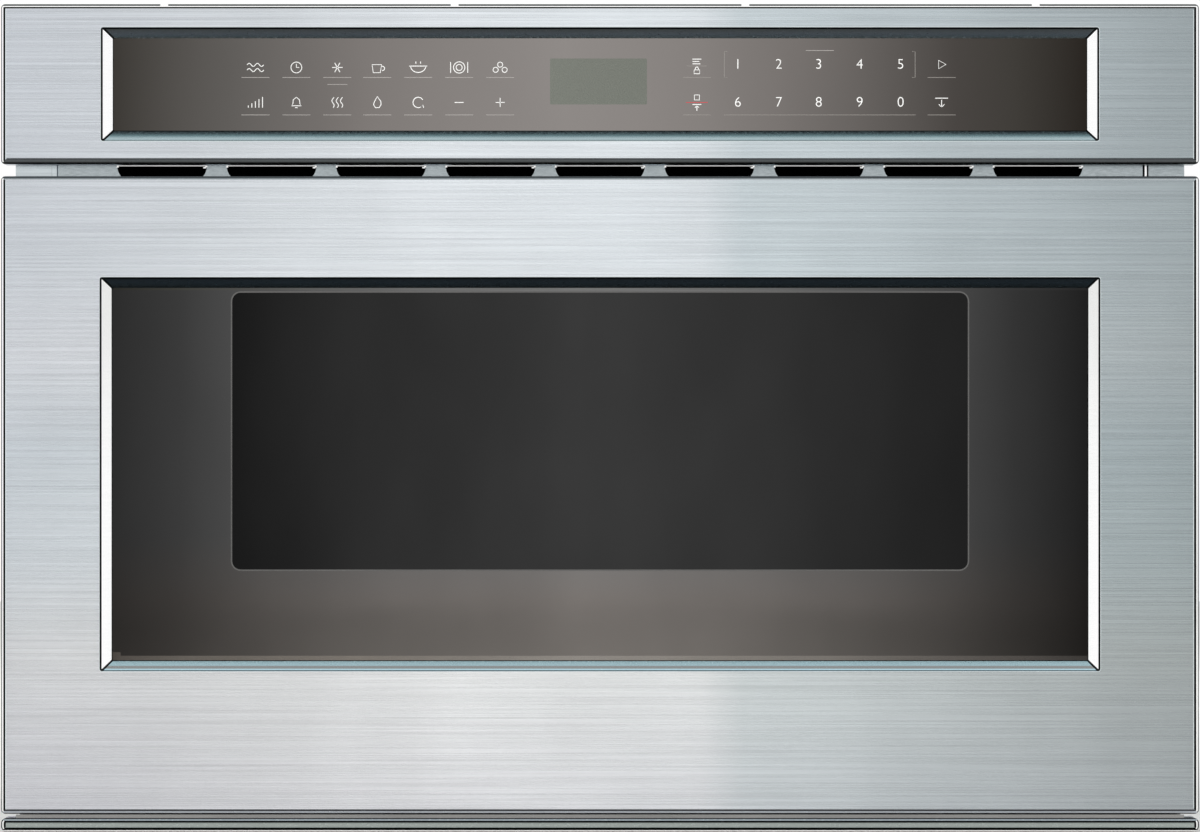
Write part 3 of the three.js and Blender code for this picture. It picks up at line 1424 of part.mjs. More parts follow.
const frontArea = { x0: -halfWidth, x1: halfWidth, z0: drawerBottom, z1: drawerTop };
const drawerWell = {
  x0: -halfWidth + wellSideMargin,
  x1: halfWidth - wellSideMargin,
  z0: drawerBottom + drawerWellBottomMargin,
  z1: drawerTop - drawerWellTopMargin,
};
const windowRadius = 5;
const windowMargin = { side: 36.9, bottom: 42.1, top: 7.7 }; // to the edges of the plug
const plugInset = 4; // plug edge inside the mouth of the cavity
const plug = {
  x0: -cavityHalf + plugInset,
  x1: cavityHalf - plugInset,
  z0: cavityFloor + plugInset,
  z1: cavityCeiling - plugInset,
};
const windowArea = {
  x0: plug.x0 + windowMargin.side,
  x1: plug.x1 - windowMargin.side,
  z0: plug.z0 + windowMargin.bottom,
  z1: plug.z1 - windowMargin.top,
};
const chokeSlotWidth = 3.5;
const chokeSlotPitch = 26;
const chokeSlotDepth = 11;

// Slots that turn the outer wall of the choke into a comb
function chokeSlots(outer) {
  const slots = [];
  const y0 = plugRearY - chokeSlotDepth;
  const y1 = plugRearY + 1;
  const reach = 2 * skinSheet;
  const runX = Math.floor((outer.x1 - outer.x0 - chokeSlotPitch) / chokeSlotPitch);
  const middleX = (outer.x0 + outer.x1) / 2;
  const middleZ = (outer.z0 + outer.z1) / 2;
  for (let i = 0; i <= runX; i += 1) {
    const x = middleX + (i - runX / 2) * chokeSlotPitch;
    slots.push(box(x - chokeSlotWidth / 2, x + chokeSlotWidth / 2, y0, y1, outer.z0 - 1, outer.z0 + reach));
    slots.push(box(x - chokeSlotWidth / 2, x + chokeSlotWidth / 2, y0, y1, outer.z1 - reach, outer.z1 + 1));
  }
  const runZ = Math.floor((outer.z1 - outer.z0 - chokeSlotPitch) / chokeSlotPitch);
  for (let i = 0; i <= runZ; i += 1) {
    const z = middleZ + (i - runZ / 2) * chokeSlotPitch;
    slots.push(box(outer.x0 - 1, outer.x0 + reach, y0, y1, z - chokeSlotWidth / 2, z + chokeSlotWidth / 2));
    slots.push(box(outer.x1 - reach, outer.x1 + 1, y0, y1, z - chokeSlotWidth / 2, z + chokeSlotWidth / 2));
  }
  return slots;
}

// Inner frame of the door: a panel, a raised plug with the window in it, a comb round the plug
function doorFrame() {
  const panelFrontY = glassRearY + seat;
  const panelRearY = panelFrontY + skinSheet;
  const inside = grown(plug, -skinSheet);
  const comb = grown(plug, chokeWidth + skinSheet);
  const pieces = [
    ring(grown(frontArea, -skinSheet - seat), inside, panelFrontY, panelRearY, 1),
    ring(plug, inside, panelFrontY, plugRearY),
    ring(plug, windowArea, plugRearY - skinSheet, plugRearY, 0, windowRadius),
    cut(ring(comb, grown(comb, -skinSheet), panelRearY - 0.5, plugRearY), ...chokeSlots(comb)),
  ];
  return join(...pieces);
}

const coverPlate = frameFrontY - chokeGap - plugRearY - seat;
const coverLip = 7;

function chokeCover() {
  const outer = grown(plug, chokeWidth + skinSheet);
  const inner = grown(plug, seat);
  const front = plugRearY + seat;
  const lipWall = 1.5;
  return join(
    ring(outer, inner, front, front + coverPlate, 3, 0),
    ring(grown(inner, lipWall), inner, front - coverLip, front + coverPlate / 2),
  );
}

const screenSheet = 0.8;
const screenMargin = 5;

function windowScreen() {
  const rear = plugRearY - skinSheet - seat;
  return alongY(areaShape(grown(windowArea, screenMargin), 3), rear - screenSheet, rear);
}

const tubFrontY = plugRearY + seat;
const tubBend = 6;
const tubRim = 4.6;

function tubWrap() {
  const line = [
    [tubHalf, tubTop], [tubHalf, tubFloor], [-tubHalf, tubFloor], [-tubHalf, tubTop],
  ];
  const bent = bend(line, tubBend);
  const rimmed = [[tubHalf + tubRim, tubTop], ...bent, [-tubHalf - tubRim, tubTop]];
  return alongY(sheetShape(rimmed, tubSheet), tubFrontY, tubBackY - seat);
}

function tubBack() {
  const half = tubHalf + tubSheet;
  return alongY(rectangle(-half, half, tubBottom, tubTop, 4), tubBackY, tubBackY + tubSheet);
}

const trayInset = 6.5;

function glassTray() {
  const half = tubHalf - trayInset;
  const tray = new THREE.ExtrudeGeometry(rectangle(-half + 1, half - 1, tubFrontY + 4, tubBackY - 5, 12), {
    depth: trayThickness - 2,
    bevelSize: 1,
    bevelThickness: 1,
    bevelSegments: 1,
    curveSegments: 2,
  });
  return tray.translate(0, 0, trayBottom + 1);
}

place(drawer, 'drawer_front', wellFront(frontArea, drawerWell), stainless);
place(drawer, 'drawer_glass', glassPane(drawerWell), darkGlass);
place(drawer, 'door_frame', doorFrame(), enamel);
place(drawer, 'choke_cover', chokeCover(), blackPlastic);
place(drawer, 'window_screen', windowScreen(), enamel);
place(drawer, 'tub_wrap', tubWrap(), enamel);
place(drawer, 'tub_back', tubBack(), enamel);
place(drawer, 'glass_tray', glassTray(), clearCeramic);
place(drawer, 'rack', rack(), acetal);
for (const [name, side] of sides) {
  place(drawer, `slide_inner_${name}`, slideInner(side), galvanised);
  place(drawer, `interlock_tongue_${name}`, interlockTongue(side), blackPlastic);
}

export default model;
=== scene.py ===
"""Looks of a built-in microwave drawer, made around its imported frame.

Shapes are drawn in millimetres and become metres as their mesh is made; the floor, the lamps and
the camera are in metres. +Z is up, the front faces -Y and +X is to the right of someone facing it.
Each sub-assembly is a class that builds its own pieces, and each finish is a frozen dataclass.
"""

import logging
import math
from collections.abc import Callable, Iterable, Sequence
from dataclasses import dataclass, replace
from enum import Enum
from itertools import pairwise

import bmesh
import bpy
from bpy.types import ID, Material, Mesh, Node, NodeSocket, NodeTree, Object
from mathutils import Matrix, Vector


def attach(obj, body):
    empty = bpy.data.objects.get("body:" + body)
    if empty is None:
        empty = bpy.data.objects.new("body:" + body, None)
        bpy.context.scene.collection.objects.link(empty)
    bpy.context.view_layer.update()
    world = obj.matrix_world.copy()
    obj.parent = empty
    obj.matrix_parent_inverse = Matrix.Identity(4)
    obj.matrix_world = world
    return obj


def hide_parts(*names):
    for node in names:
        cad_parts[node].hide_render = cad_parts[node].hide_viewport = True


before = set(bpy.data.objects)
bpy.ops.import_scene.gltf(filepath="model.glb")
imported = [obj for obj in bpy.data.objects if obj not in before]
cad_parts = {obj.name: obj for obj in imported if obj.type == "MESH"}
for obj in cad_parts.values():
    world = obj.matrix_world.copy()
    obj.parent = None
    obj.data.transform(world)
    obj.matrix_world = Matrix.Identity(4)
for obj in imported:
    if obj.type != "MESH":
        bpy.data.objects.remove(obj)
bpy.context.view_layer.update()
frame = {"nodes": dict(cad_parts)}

LOG = logging.getLogger("microwave_drawer")
MM = 0.001

Outline = list[tuple[float, float]]
Stops = tuple[tuple[float, str], ...]
Triple = tuple[float, float, float]


# ---------------------------------------------------------------- node trees and finishes


def linear(colour: str) -> tuple[float, float, float, float]:
    """Turns a hex sRGB colour into linear light.

    Args:
        colour: Six hex digits after a hash.

    Returns:
        Red, green, blue and an alpha of 1.
    """
    parts = [int(colour[i : i + 2], 16) / 255 for i in (1, 3, 5)]
    light = [c / 12.92 if c <= 0.04045 else ((c + 0.055) / 1.055) ** 2.4 for c in parts]
    return (light[0], light[1], light[2], 1.0)


def add(
    tree: NodeTree, kind: str, inputs: dict[str | int, object] | None = None, **settings: object
) -> Node:
    """Adds a node with its settings, and sets or links its inputs.

    Args:
        tree: The tree that the node goes into.
        kind: The node's Blender type.
        inputs: A value, a socket, or a node whose first output is meant, by the input's name or place.
        **settings: Attributes of the node.

    Returns:
        The new node.
    """
    made = tree.nodes.new(kind)
    for name, value in settings.items():
        setattr(made, name, value)
    for key, value in (inputs or {}).items():
        if isinstance(value, Node):
            tree.links.new(value.outputs[0], made.inputs[key])
        elif isinstance(value, NodeSocket):
            tree.links.new(value, made.inputs[key])
        else:
            made.inputs[key].default_value = value
    return made


# Sockets of a colour mix, whose inputs share their names with those for numbers and vectors
MIX_SHARE, MIX_FIRST, MIX_SECOND, MIX_COLOUR = 0, 6, 7, 2
NOISE_RANGE = (0.3, 0.7)  # what the values of a soft noise mostly lie between


class Grain(Enum):
    """How the fine pattern of a finish runs: its texture node, and the range that its values fill."""

    SOFT = ("ShaderNodeTexNoise", *NOISE_RANGE)
    CELLS = ("ShaderNodeTexVoronoi", 0.0, 1.0)


@dataclass(frozen=True)
class Finish:
    """A surface, by what it is made of and how it was made.

    colour and second are the two tones of its fine grain and contrast how far they mix. swing
    is how much the grain lightens and darkens them, grain_mm its size along X, Y and Z, patch_mm
    the size of the broad, faint patches, and relief_mm the grain's height.
    """

    name: str
    colour: str
    second: str
    roughness: float = 0.5
    metallic: float = 0.0
    specular: float = 0.5
    coat: float = 0.0
    grain: Grain = Grain.SOFT
    grain_mm: Triple = (0.8, 0.8, 0.8)
    contrast: float = 0.5
    swing: float = 0.0
    relief_mm: float = 0.0
    patch_mm: float = 60.0
    patch_depth: float = 0.08
    roughness_spread: float = 0.08

    def base(self, tree: NodeTree, place: NodeSocket) -> object:
        """Returns the tone that the grain is laid on: one colour, unless a finish says more."""
        return linear(self.colour)

    def pattern(self, tree: NodeTree, place: NodeSocket) -> NodeSocket:
        """Lays the fine grain.

        Args:
            tree: The material's tree.
            place: Object coordinates.

        Returns:
            The socket that carries the grain, as one value.
        """
        kind = self.grain.value[0]
        scale = [1 / (size * MM) for size in self.grain_mm]
        sized = add(tree, "ShaderNodeMapping", {"Vector": place, "Scale": scale})
        texture = add(tree, kind, {"Vector": sized, "Scale": 1.0})
        if self.grain is Grain.CELLS:
            return add(tree, "ShaderNodeSeparateColor", {0: texture.outputs["Color"]}).outputs[0]
        texture.inputs["Detail"].default_value = 3.0
        return texture.outputs[0]

    def material(self) -> Material:
        """Builds the node material, once for each finish.

        Returns:
            The material.
        """
        found = bpy.data.materials.get(self.name)
        if found is not None:
            return found
        made = bpy.data.materials.new(self.name)
        made.use_nodes = True
        tree = made.node_tree
        shader = tree.nodes["Principled BSDF"]
        place = add(tree, "ShaderNodeTexCoord").outputs["Object"]
        pattern = self.pattern(tree, place)
        _, low, high = self.grain.value
        smoothest = max(0.02, self.roughness - self.roughness_spread)
        roughest = min(1.0, self.roughness + self.roughness_spread)
        ranges = ((0.0, self.contrast), (1 - self.swing, 1 + self.swing), (smoothest, roughest))
        fine, close, rough = (
            add(tree, "ShaderNodeMapRange", dict(enumerate((pattern, low, high, start, end))))
            for start, end in ranges
        )
        pair = {MIX_SHARE: fine, MIX_FIRST: self.base(tree, place), MIX_SECOND: linear(self.second)}
        grained = add(tree, "ShaderNodeMix", pair, data_type="RGBA").outputs[MIX_COLOUR]
        flat = add(tree, "ShaderNodeMapping", {"Vector": place, "Scale": (1.0, 1.0, 0.5)})
        patches = add(
            tree, "ShaderNodeTexNoise", {"Vector": flat, "Scale": 1 / (self.patch_mm * MM), "Detail": 2.0}
        )
        span = (patches, *NOISE_RANGE, 1 - self.patch_depth, 1 + self.patch_depth)
        broad = add(tree, "ShaderNodeMapRange", dict(enumerate(span)))
        shade = add(tree, "ShaderNodeMath", {0: broad, 1: close}, operation="MULTIPLY")
        toned = add(tree, "ShaderNodeVectorMath", {0: grained, "Scale": shade}, operation="SCALE")
        tree.links.new(toned.outputs[0], shader.inputs["Base Color"])
        tree.links.new(rough.outputs[0], shader.inputs["Roughness"])
        if self.relief_mm > 0:
            height = {"Strength": 1.0, "Distance": self.relief_mm * MM, "Height": pattern}
            tree.links.new(add(tree, "ShaderNodeBump", height).outputs[0], shader.inputs["Normal"])
        shader.inputs["Metallic"].default_value = self.metallic
        shader.inputs["Specular IOR Level"].default_value = self.specular
        shader.inputs["Coat Weight"].default_value = self.coat
        return made


@dataclass(frozen=True)
class RampedFinish(Finish):
    """A metal or mirror whose tone is painted along one axis: a painted reflection of the light and shade
    that a polished sheet mirrors.

    stops are places along the axis, in millimetres, with the tone at each. rise holds places
    along Z with a tone that multiplies the first.
    """

    colour: str = "#ffffff"
    second: str = "#ffffff"
    metallic: float = 1.0
    contrast: float = 0.0
    axis: int = 0
    stops: Stops = ()
    rise: Stops = ()

    def base(self, tree: NodeTree, place: NodeSocket) -> object:
        """Returns the node whose first output is the tone along the axis.

        Args:
            tree: The material's tree.
            place: Object coordinates.

        Returns:
            The node.
        """
        parts = add(tree, "ShaderNodeSeparateXYZ", {0: place})
        tone = self.ramp(tree, parts.outputs[self.axis], self.stops)
        if not self.rise:
            return tone
        lift = self.ramp(tree, parts.outputs[2], self.rise)
        return add(tree, "ShaderNodeVectorMath", {0: tone, 1: lift}, operation="MULTIPLY")

    def ramp(self, tree: NodeTree, along: NodeSocket, stops: Stops) -> Node:
        """Turns a place along an axis into a tone.

        Args:
            tree: The material's tree.
            along: The place, in metres.
            stops: Places in millimetres with their tones.

        Returns:
            The ramp, whose first output is the colour.
        """
        low, high = stops[0][0], stops[-1][0]
        share = add(tree, "ShaderNodeMapRange", {0: along, 1: low * MM, 2: high * MM, 3: 0.0, 4: 1.0})
        ramp = add(tree, "ShaderNodeValToRGB", {0: share})
        points = ramp.color_ramp.elements
        for _ in range(len(stops) - 2):
            points.new(0.5)
        for point, (at, colour) in zip(points, stops, strict=True):
            point.position = (at - low) / (high - low)
            point.color = linear(colour)
        return ramp


def tones(text: str) -> Stops:
    """Reads the stops of a ramp.

    Args:
        text: A place in millimetres and a hex colour for each stop, with commas between the stops.

    Returns:
        The stops.
    """
    return tuple((float(place), colour) for place, colour in (stop.split() for stop in text.split(",")))


def bevel_finish(name: str, low_mm: float, stops: Stops) -> RampedFinish:
    """Makes the finish of a polished edge or slope, a narrow strip whose reflections are painted as tones
    by height.

    Args:
        name: The material's name.
        low_mm: Height of the strip's lower edge.
        stops: Heights over that edge, in millimetres, with their tones.

    Returns:
        The finish.
    """
    return RampedFinish(
        name,
        roughness=0.22,
        grain_mm=(1.6, 1.6, 0.8),
        swing=0.05,
        patch_depth=0.02,
        axis=2,
        stops=tuple((low_mm + rise, colour) for rise, colour in stops),
    )


HEM_GRAIN = (30.0, 6.0, 0.4)

# Brushed 430 stainless sheet: a grinding belt drew fine lines along X, which the grain draws as fine
# streaks. Its broad
# tone is painted reflection: lightest left of the middle, falling off to the right, and lighter in a band
# along Z.
BRUSHED_STEEL = RampedFinish(
    "brushed_stainless_sheet", roughness=0.28, grain_mm=(150.0, 12.0, 0.6), swing=0.13, relief_mm=0.003,
    patch_mm=55.0, patch_depth=0.035, roughness_spread=0.06,
    stops=tones(
        "-303 #d0d3d9, -170 #d9dce0, -90 #e7eaee, 35 #e4e8ec, 52 #e0e4e8, 73 #cfd7db, 150 #c2cace, "
        "303 #a3abae"
    ),
    rise=tones("0 #fbf8f9, 90 #faf8f5, 140 #f3f6f6, 195 #f0f4f5, 242 #ffffff, 290 #f6f8f9, 420 #f6f8f9"),
)
# The turned edge of the same sheet, painted white as a highlight where its roll mirrors the room
PAINTED_HIGHLIGHT = Finish(
    "painted_highlight", "#ffffff", "#f3f6f6", 0.12, 1.0, grain_mm=HEM_GRAIN, contrast=0.2, patch_depth=0.01,
    roughness_spread=0.03,
)
# Painted shade: the near-black lines along the tight bends of the pressing and in the corners of the wells
PAINTED_SHADE = Finish("painted_shade", "#0a0c0d", "#15191b", 0.4, 1.0, grain_mm=(8.0, 2.0, 0.5))
# A painted highlight: the fine halo beside a bend, a little paler than the face
PAINTED_HALO = Finish("painted_highlight_halo", "#dbe3e5", "#cfd8da", 0.2, 1.0, grain_mm=HEM_GRAIN)
# Smooth strip along the foot, set back in the gap over the trim: its dull grey is a painted reflection of
# the floor
SILL_STEEL = Finish("foot_sill_painted_reflection", "#9b9a99", "#8b8a89", 0.1, 1.0, grain_mm=HEM_GRAIN)
# An edge rolled away from the light, slate grey
OUTLINE_HEM = Finish("rolled_outer_edge", "#68727a", "#5b656c", 0.35, 1.0, grain_mm=HEM_GRAIN)
# The sheared rim of the sheet, left rough by the blade, in painted shade as the darkest steel on the
# outline
PAINTED_RIM_SHADE = Finish("cut_rim_painted_shade", "#333c42", "#2b3338", 0.4, 1.0, grain_mm=(26.0, 6.0, 0.5), contrast=0.8)
# Bronze float glass with a reflective coating behind it: nearly a mirror and brown-grey. Its tone is a
# painted reflection, lightest left of the middle like the steel around it
CONTROL_GLASS = RampedFinish(
    "bronze_mirror_glass", roughness=0.05, grain_mm=(90.0, 90.0, 90.0), patch_depth=0.03,
    roughness_spread=0.02,
    stops=tones(
        "-247 #3d3a36, -185 #625f5c, -120 #7d7875, -18 #908b88, 50 #85807d, 90 #7a7572, 149 #5d5956, "
        "180 #4a4643, 210 #413e3a, 247 #292521"
    ),
)
# The drawer's float glass over a black ceramic print: the same painted reflection, cooler and darker, and
# lighter and warmer low down
DOOR_GLASS = RampedFinish(
    "printed_door_glass", roughness=0.05, grain_mm=(160.0, 160.0, 60.0), patch_depth=0.05, patch_mm=45.0,
    roughness_spread=0.02,
    stops=tones(
        "-247 #303030, -212 #3f3f3f, -124 #676767, -10 #7a7a7a, 60 #757575, 149 #585858, 210 #383838, "
        "247 #222222"
    ),
    rise=tones("85 #fff5ee, 118 #fff5ee, 150 #f0f0f0, 275 #f2f2f2"),
)
# Clear glass over an unlit cavity, drawn as an opaque dark mirror: its dark is painted shade of the cavity,
# and the little that it mirrors is painted reflection along X
WINDOW_GLASS = RampedFinish(
    "window_glass_painted_shade", roughness=0.06, grain_mm=(120.0, 120.0, 120.0), patch_mm=50.0,
    patch_depth=0.1, roughness_spread=0.02,
    stops=tones("-187 #1a1a1a, -120 #2c2c2c, -10 #393939, 90 #303030, 187 #212121"),
)
# A lighter line round the window, along the edge of the ceramic print
WINDOW_EDGE = Finish("window_edge_line", "#6b6a69", "#5c5b5a", 0.2, 1.0)
# Light strips along the glass's upper and its lower edge, toned along X with the same painted reflection as
# the glass
UPPER_EDGE_STRIP = RampedFinish(
    "upper_edge_print", roughness=0.12, grain_mm=(80.0, 20.0, 4.0),
    stops=tones(
        "-247 #2b2b28, -212 #3d3d39, -124 #616160, -10 #757574, 60 #6b6b6a, 210 #383838, 247 #262626"
    ),
)
LOWER_EDGE_STRIP = replace(
    UPPER_EDGE_STRIP, name="lower_edge_print",
    stops=tones(
        "-247 #48433f, -243 #514c48, -212 #625d58, -124 #7a746e, -10 #8d8883, 60 #86817c, 210 #514d4a, "
        "247 #3c3937"
    ),
)
# Reflective film of an unlit liquid crystal display, grey-green with a fine dither
LCD_FILM = RampedFinish(
    "reflective_lcd_film", second="#787c76", roughness=0.25, grain_mm=(0.35, 0.35, 0.35), contrast=0.3,
    patch_depth=0.02, stops=tones("-26 #80837b, 24 #7a7d75"),
)
# Screen-printed ink: matt, a little uneven where it went through the mesh
WHITE_INK = Finish(
    "screen_printed_white_ink", "#f4f3f1", "#e6e5e2", 0.6, specular=0.2, grain_mm=(0.2, 0.2, 0.2),
    relief_mm=0.002,
)
GREY_INK = replace(WHITE_INK, name="screen_printed_grey_ink", colour="#aaa5a2", second="#9d9895")
DIM_INK = replace(WHITE_INK, name="screen_printed_dim_ink", colour="#8f8a86", second="#847f7b")
RED_INK = replace(WHITE_INK, name="screen_printed_red_ink", colour="#d2434a", second="#bb3a41")
# Hot-dip galvanised sheet with a minimised spangle: angular crystals a few millimetres across,
# each only a shade lighter or darker than the next
ZINC_SHEET = Finish(
    "galvanised_sheet", "#c2c7c9", "#a7adb0", 0.38, 0.75, grain=Grain.CELLS, grain_mm=(5.5, 5.5, 5.5),
    contrast=0.55, patch_mm=160.0, patch_depth=0.06, roughness_spread=0.06,
)
# Bright-annealed sheet behind the fronts, its colour lightened as painted light so that it stays light in
# the narrow gaps, where shade would fall
FRAME_STEEL = Finish(
    "bright_annealed_frame_painted_light", "#c9d1d4", "#b3bbbe", 0.14, 1.0, grain_mm=(30.0, 4.0, 0.5), patch_depth=0.03,
    roughness_spread=0.05,
)
# The same sheet, polished and streaked along its length, at the foot
RAIL_STEEL = Finish(
    "polished_foot_rail", "#a3a3a1", "#8b8b8b", 0.06, 1.0, grain_mm=(30.0, 4.0, 0.9), contrast=0.8,
    roughness_spread=0.02,
)
# Blanked vent strip, tumbled after punching to a short-grained satin, its colour lightened as painted light
# against the shade of its recess
VENT_STEEL = Finish(
    "satin_vent_strip_painted_light", "#b1b9bc", "#98a1a4", 0.16, 1.0, grain_mm=(3.0, 3.0, 0.5), contrast=0.7,
    patch_depth=0.03, roughness_spread=0.05,
)
# Matt foil label, slightly mottled by the glue under it
PLATE_FOIL = Finish(
    "matt_silver_label_foil", "#e3e5e6", "#d6d9da", 0.5, 0.4, grain_mm=(0.5, 0.5, 0.5), contrast=0.3,
)
# Roll-formed and zinc-plated slides, with draw lines along their travel
SLIDE_STEEL = Finish(
    "zinc_plated_slide", "#c3c7c8", "#aeb3b6", 0.3, 1.0, grain_mm=(3.0, 40.0, 0.6), relief_mm=0.003,
)
# Cold-headed screws under bright zinc, glinting on their rounds
BRIGHT_STEEL = Finish("bright_zinc_screw", "#cfd3d4", "#b4b9bb", 0.25, 1.0, relief_mm=0.004)
# Fired porcelain enamel on steel, pale grey with the fine specks of its second coat
ENAMEL = Finish(
    "speckled_porcelain_enamel", "#a5a6a3", "#7f817f", 0.24, coat=0.4, grain=Grain.CELLS,
    grain_mm=(1.6, 1.6, 1.6), contrast=0.45, relief_mm=0.006, patch_depth=0.04, roughness_spread=0.05,
)
# Pressed glass: pale and glossy on its face, green where the eye looks into its edge
TRAY_GLASS = Finish(
    "pressed_borosilicate", "#cfdad6", "#c8d3cf", 0.07, coat=0.6, patch_depth=0.01,
    grain_mm=(5.0, 5.0, 5.0), contrast=0.4, relief_mm=0.01, roughness_spread=0.03,
)
TRAY_EDGE = Finish(
    "pressed_borosilicate_edge", "#86ab9d", "#7a9f91", 0.07, coat=0.6, grain_mm=(5.0, 5.0, 5.0),
    contrast=0.4,
)
# Injection-moulded ABS with an eroded tool texture that breaks its gloss
BLACK_ABS = Finish(
    "moulded_black_abs", "#1d1e1f", "#2a2b2c", specular=0.35, grain_mm=(0.5, 0.5, 0.5), relief_mm=0.03,
)
# Black sheet behind the vent slots, painted shade for the dark inside the case, matt so that it gives
# nothing back
PAINTED_SHADE_BAFFLE = Finish(
    "painted_shade_baffle", "#030303", "#070707", 0.95, specular=0.0, grain_mm=(0.6, 0.6, 0.6), relief_mm=0.02,
)
# Punched screen under a thin coat of black enamel, with a slight gloss
SCREEN_BLACK = Finish(
    "black_enamelled_screen", "#1a1b1c", "#101112", 0.35, specular=0.4, grain_mm=(2.0, 2.0, 2.0),
    contrast=0.4,
)
# Moulded polypropylene: waxy white with a soft sheen
WHITE_PP = Finish(
    "moulded_white_polypropylene", "#dddeda", "#d2d3cf", 0.42, grain_mm=(0.7, 0.7, 0.7), relief_mm=0.02,
)
# Acetal cut on a mill: ivory, with feed marks along Y
ACETAL = Finish("machined_acetal", "#e6e3d7", "#d8d4c6", 0.35, grain_mm=(0.6, 6.0, 0.6), relief_mm=0.01)
# Rolled and phosphated motor cans, darker than the zinc round them
MOTOR_STEEL = Finish(
    "rolled_motor_steel", "#868b8e", "#6f7477", 0.38, 1.0, grain_mm=(2.0, 0.5, 12.0), relief_mm=0.01,
)
# Varnished copper wire in layers, a ridge for each turn
COPPER_WINDING = Finish(
    "enamelled_copper_winding", "#a5602f", "#7b421d", 0.35, 0.8, coat=0.3, grain_mm=(30.0, 30.0, 0.9),
    contrast=1.0, relief_mm=0.15,
)
# Green solder mask over copper, lighter where a track lies under it
SOLDER_MASK = Finish(
    "green_solder_mask", "#2b5a37", "#3c7448", 0.3, coat=0.2, grain=Grain.CELLS, grain_mm=(3.0, 3.0, 3.0),
    contrast=0.8, relief_mm=0.03,
)
# Rolled paper sweep under the object, almost even
STUDIO_FLOOR = Finish(
    "pale_studio_floor", "#ecebe8", "#e5e4e1", 0.8, specular=0.1, grain_mm=(30.0, 30.0, 30.0),
    patch_mm=400.0, patch_depth=0.02,
)


# ---------------------------------------------------------------- outlines and pieces


class Side(Enum):
    """Side of a four-sided outline, as seen from the front."""

    RIGHT = 0
    TOP = 1
    LEFT = 2
    BOTTOM = 3


CORNER_STEPS = 6


def rounded(x0: float, x1: float, z0: float, z1: float, radius: float) -> Outline:
    """Draws a rectangle with round corners, counter-clockwise from its lower right corner.

    Args:
        x0: Left edge.
        x1: Right edge.
        z0: Lower edge.
        z1: Upper edge.
        radius: Corner radius.

    Returns:
        CORNER_STEPS + 1 points for each corner.
    """
    radius = max(radius, 0.05)
    left, right, low, high = x0 + radius, x1 - radius, z0 + radius, z1 - radius
    points: Outline = []
    for corner, (cx, cz) in enumerate(((right, low), (right, high), (left, high), (left, low))):
        for step in range(CORNER_STEPS + 1):
            turn = math.radians(90 * (corner - 1 + step / CORNER_STEPS))
            points.append((cx + radius * math.cos(turn), cz + radius * math.sin(turn)))
    return points


def inset_box(half: float, low: float, high: float, inset: float, radius: float) -> Outline:
    """Returns a rounded box about the middle of the front, with each side moved in by the inset."""
    return rounded(inset - half, half - inset, low + inset, high - inset, radius)


def side_of(segment: int) -> tuple[Side, bool]:
    """Places a segment of a rounded outline.

    Args:
        segment: Its number.

    Returns:
        The side that it belongs to, and whether it is in a corner.
    """
    corner, step = divmod(segment, CORNER_STEPS + 1)
    in_corner = step < CORNER_STEPS
    late = not in_corner or step >= CORNER_STEPS / 2
    return (Side(corner) if late else Side((corner + 3) % 4)), in_corner


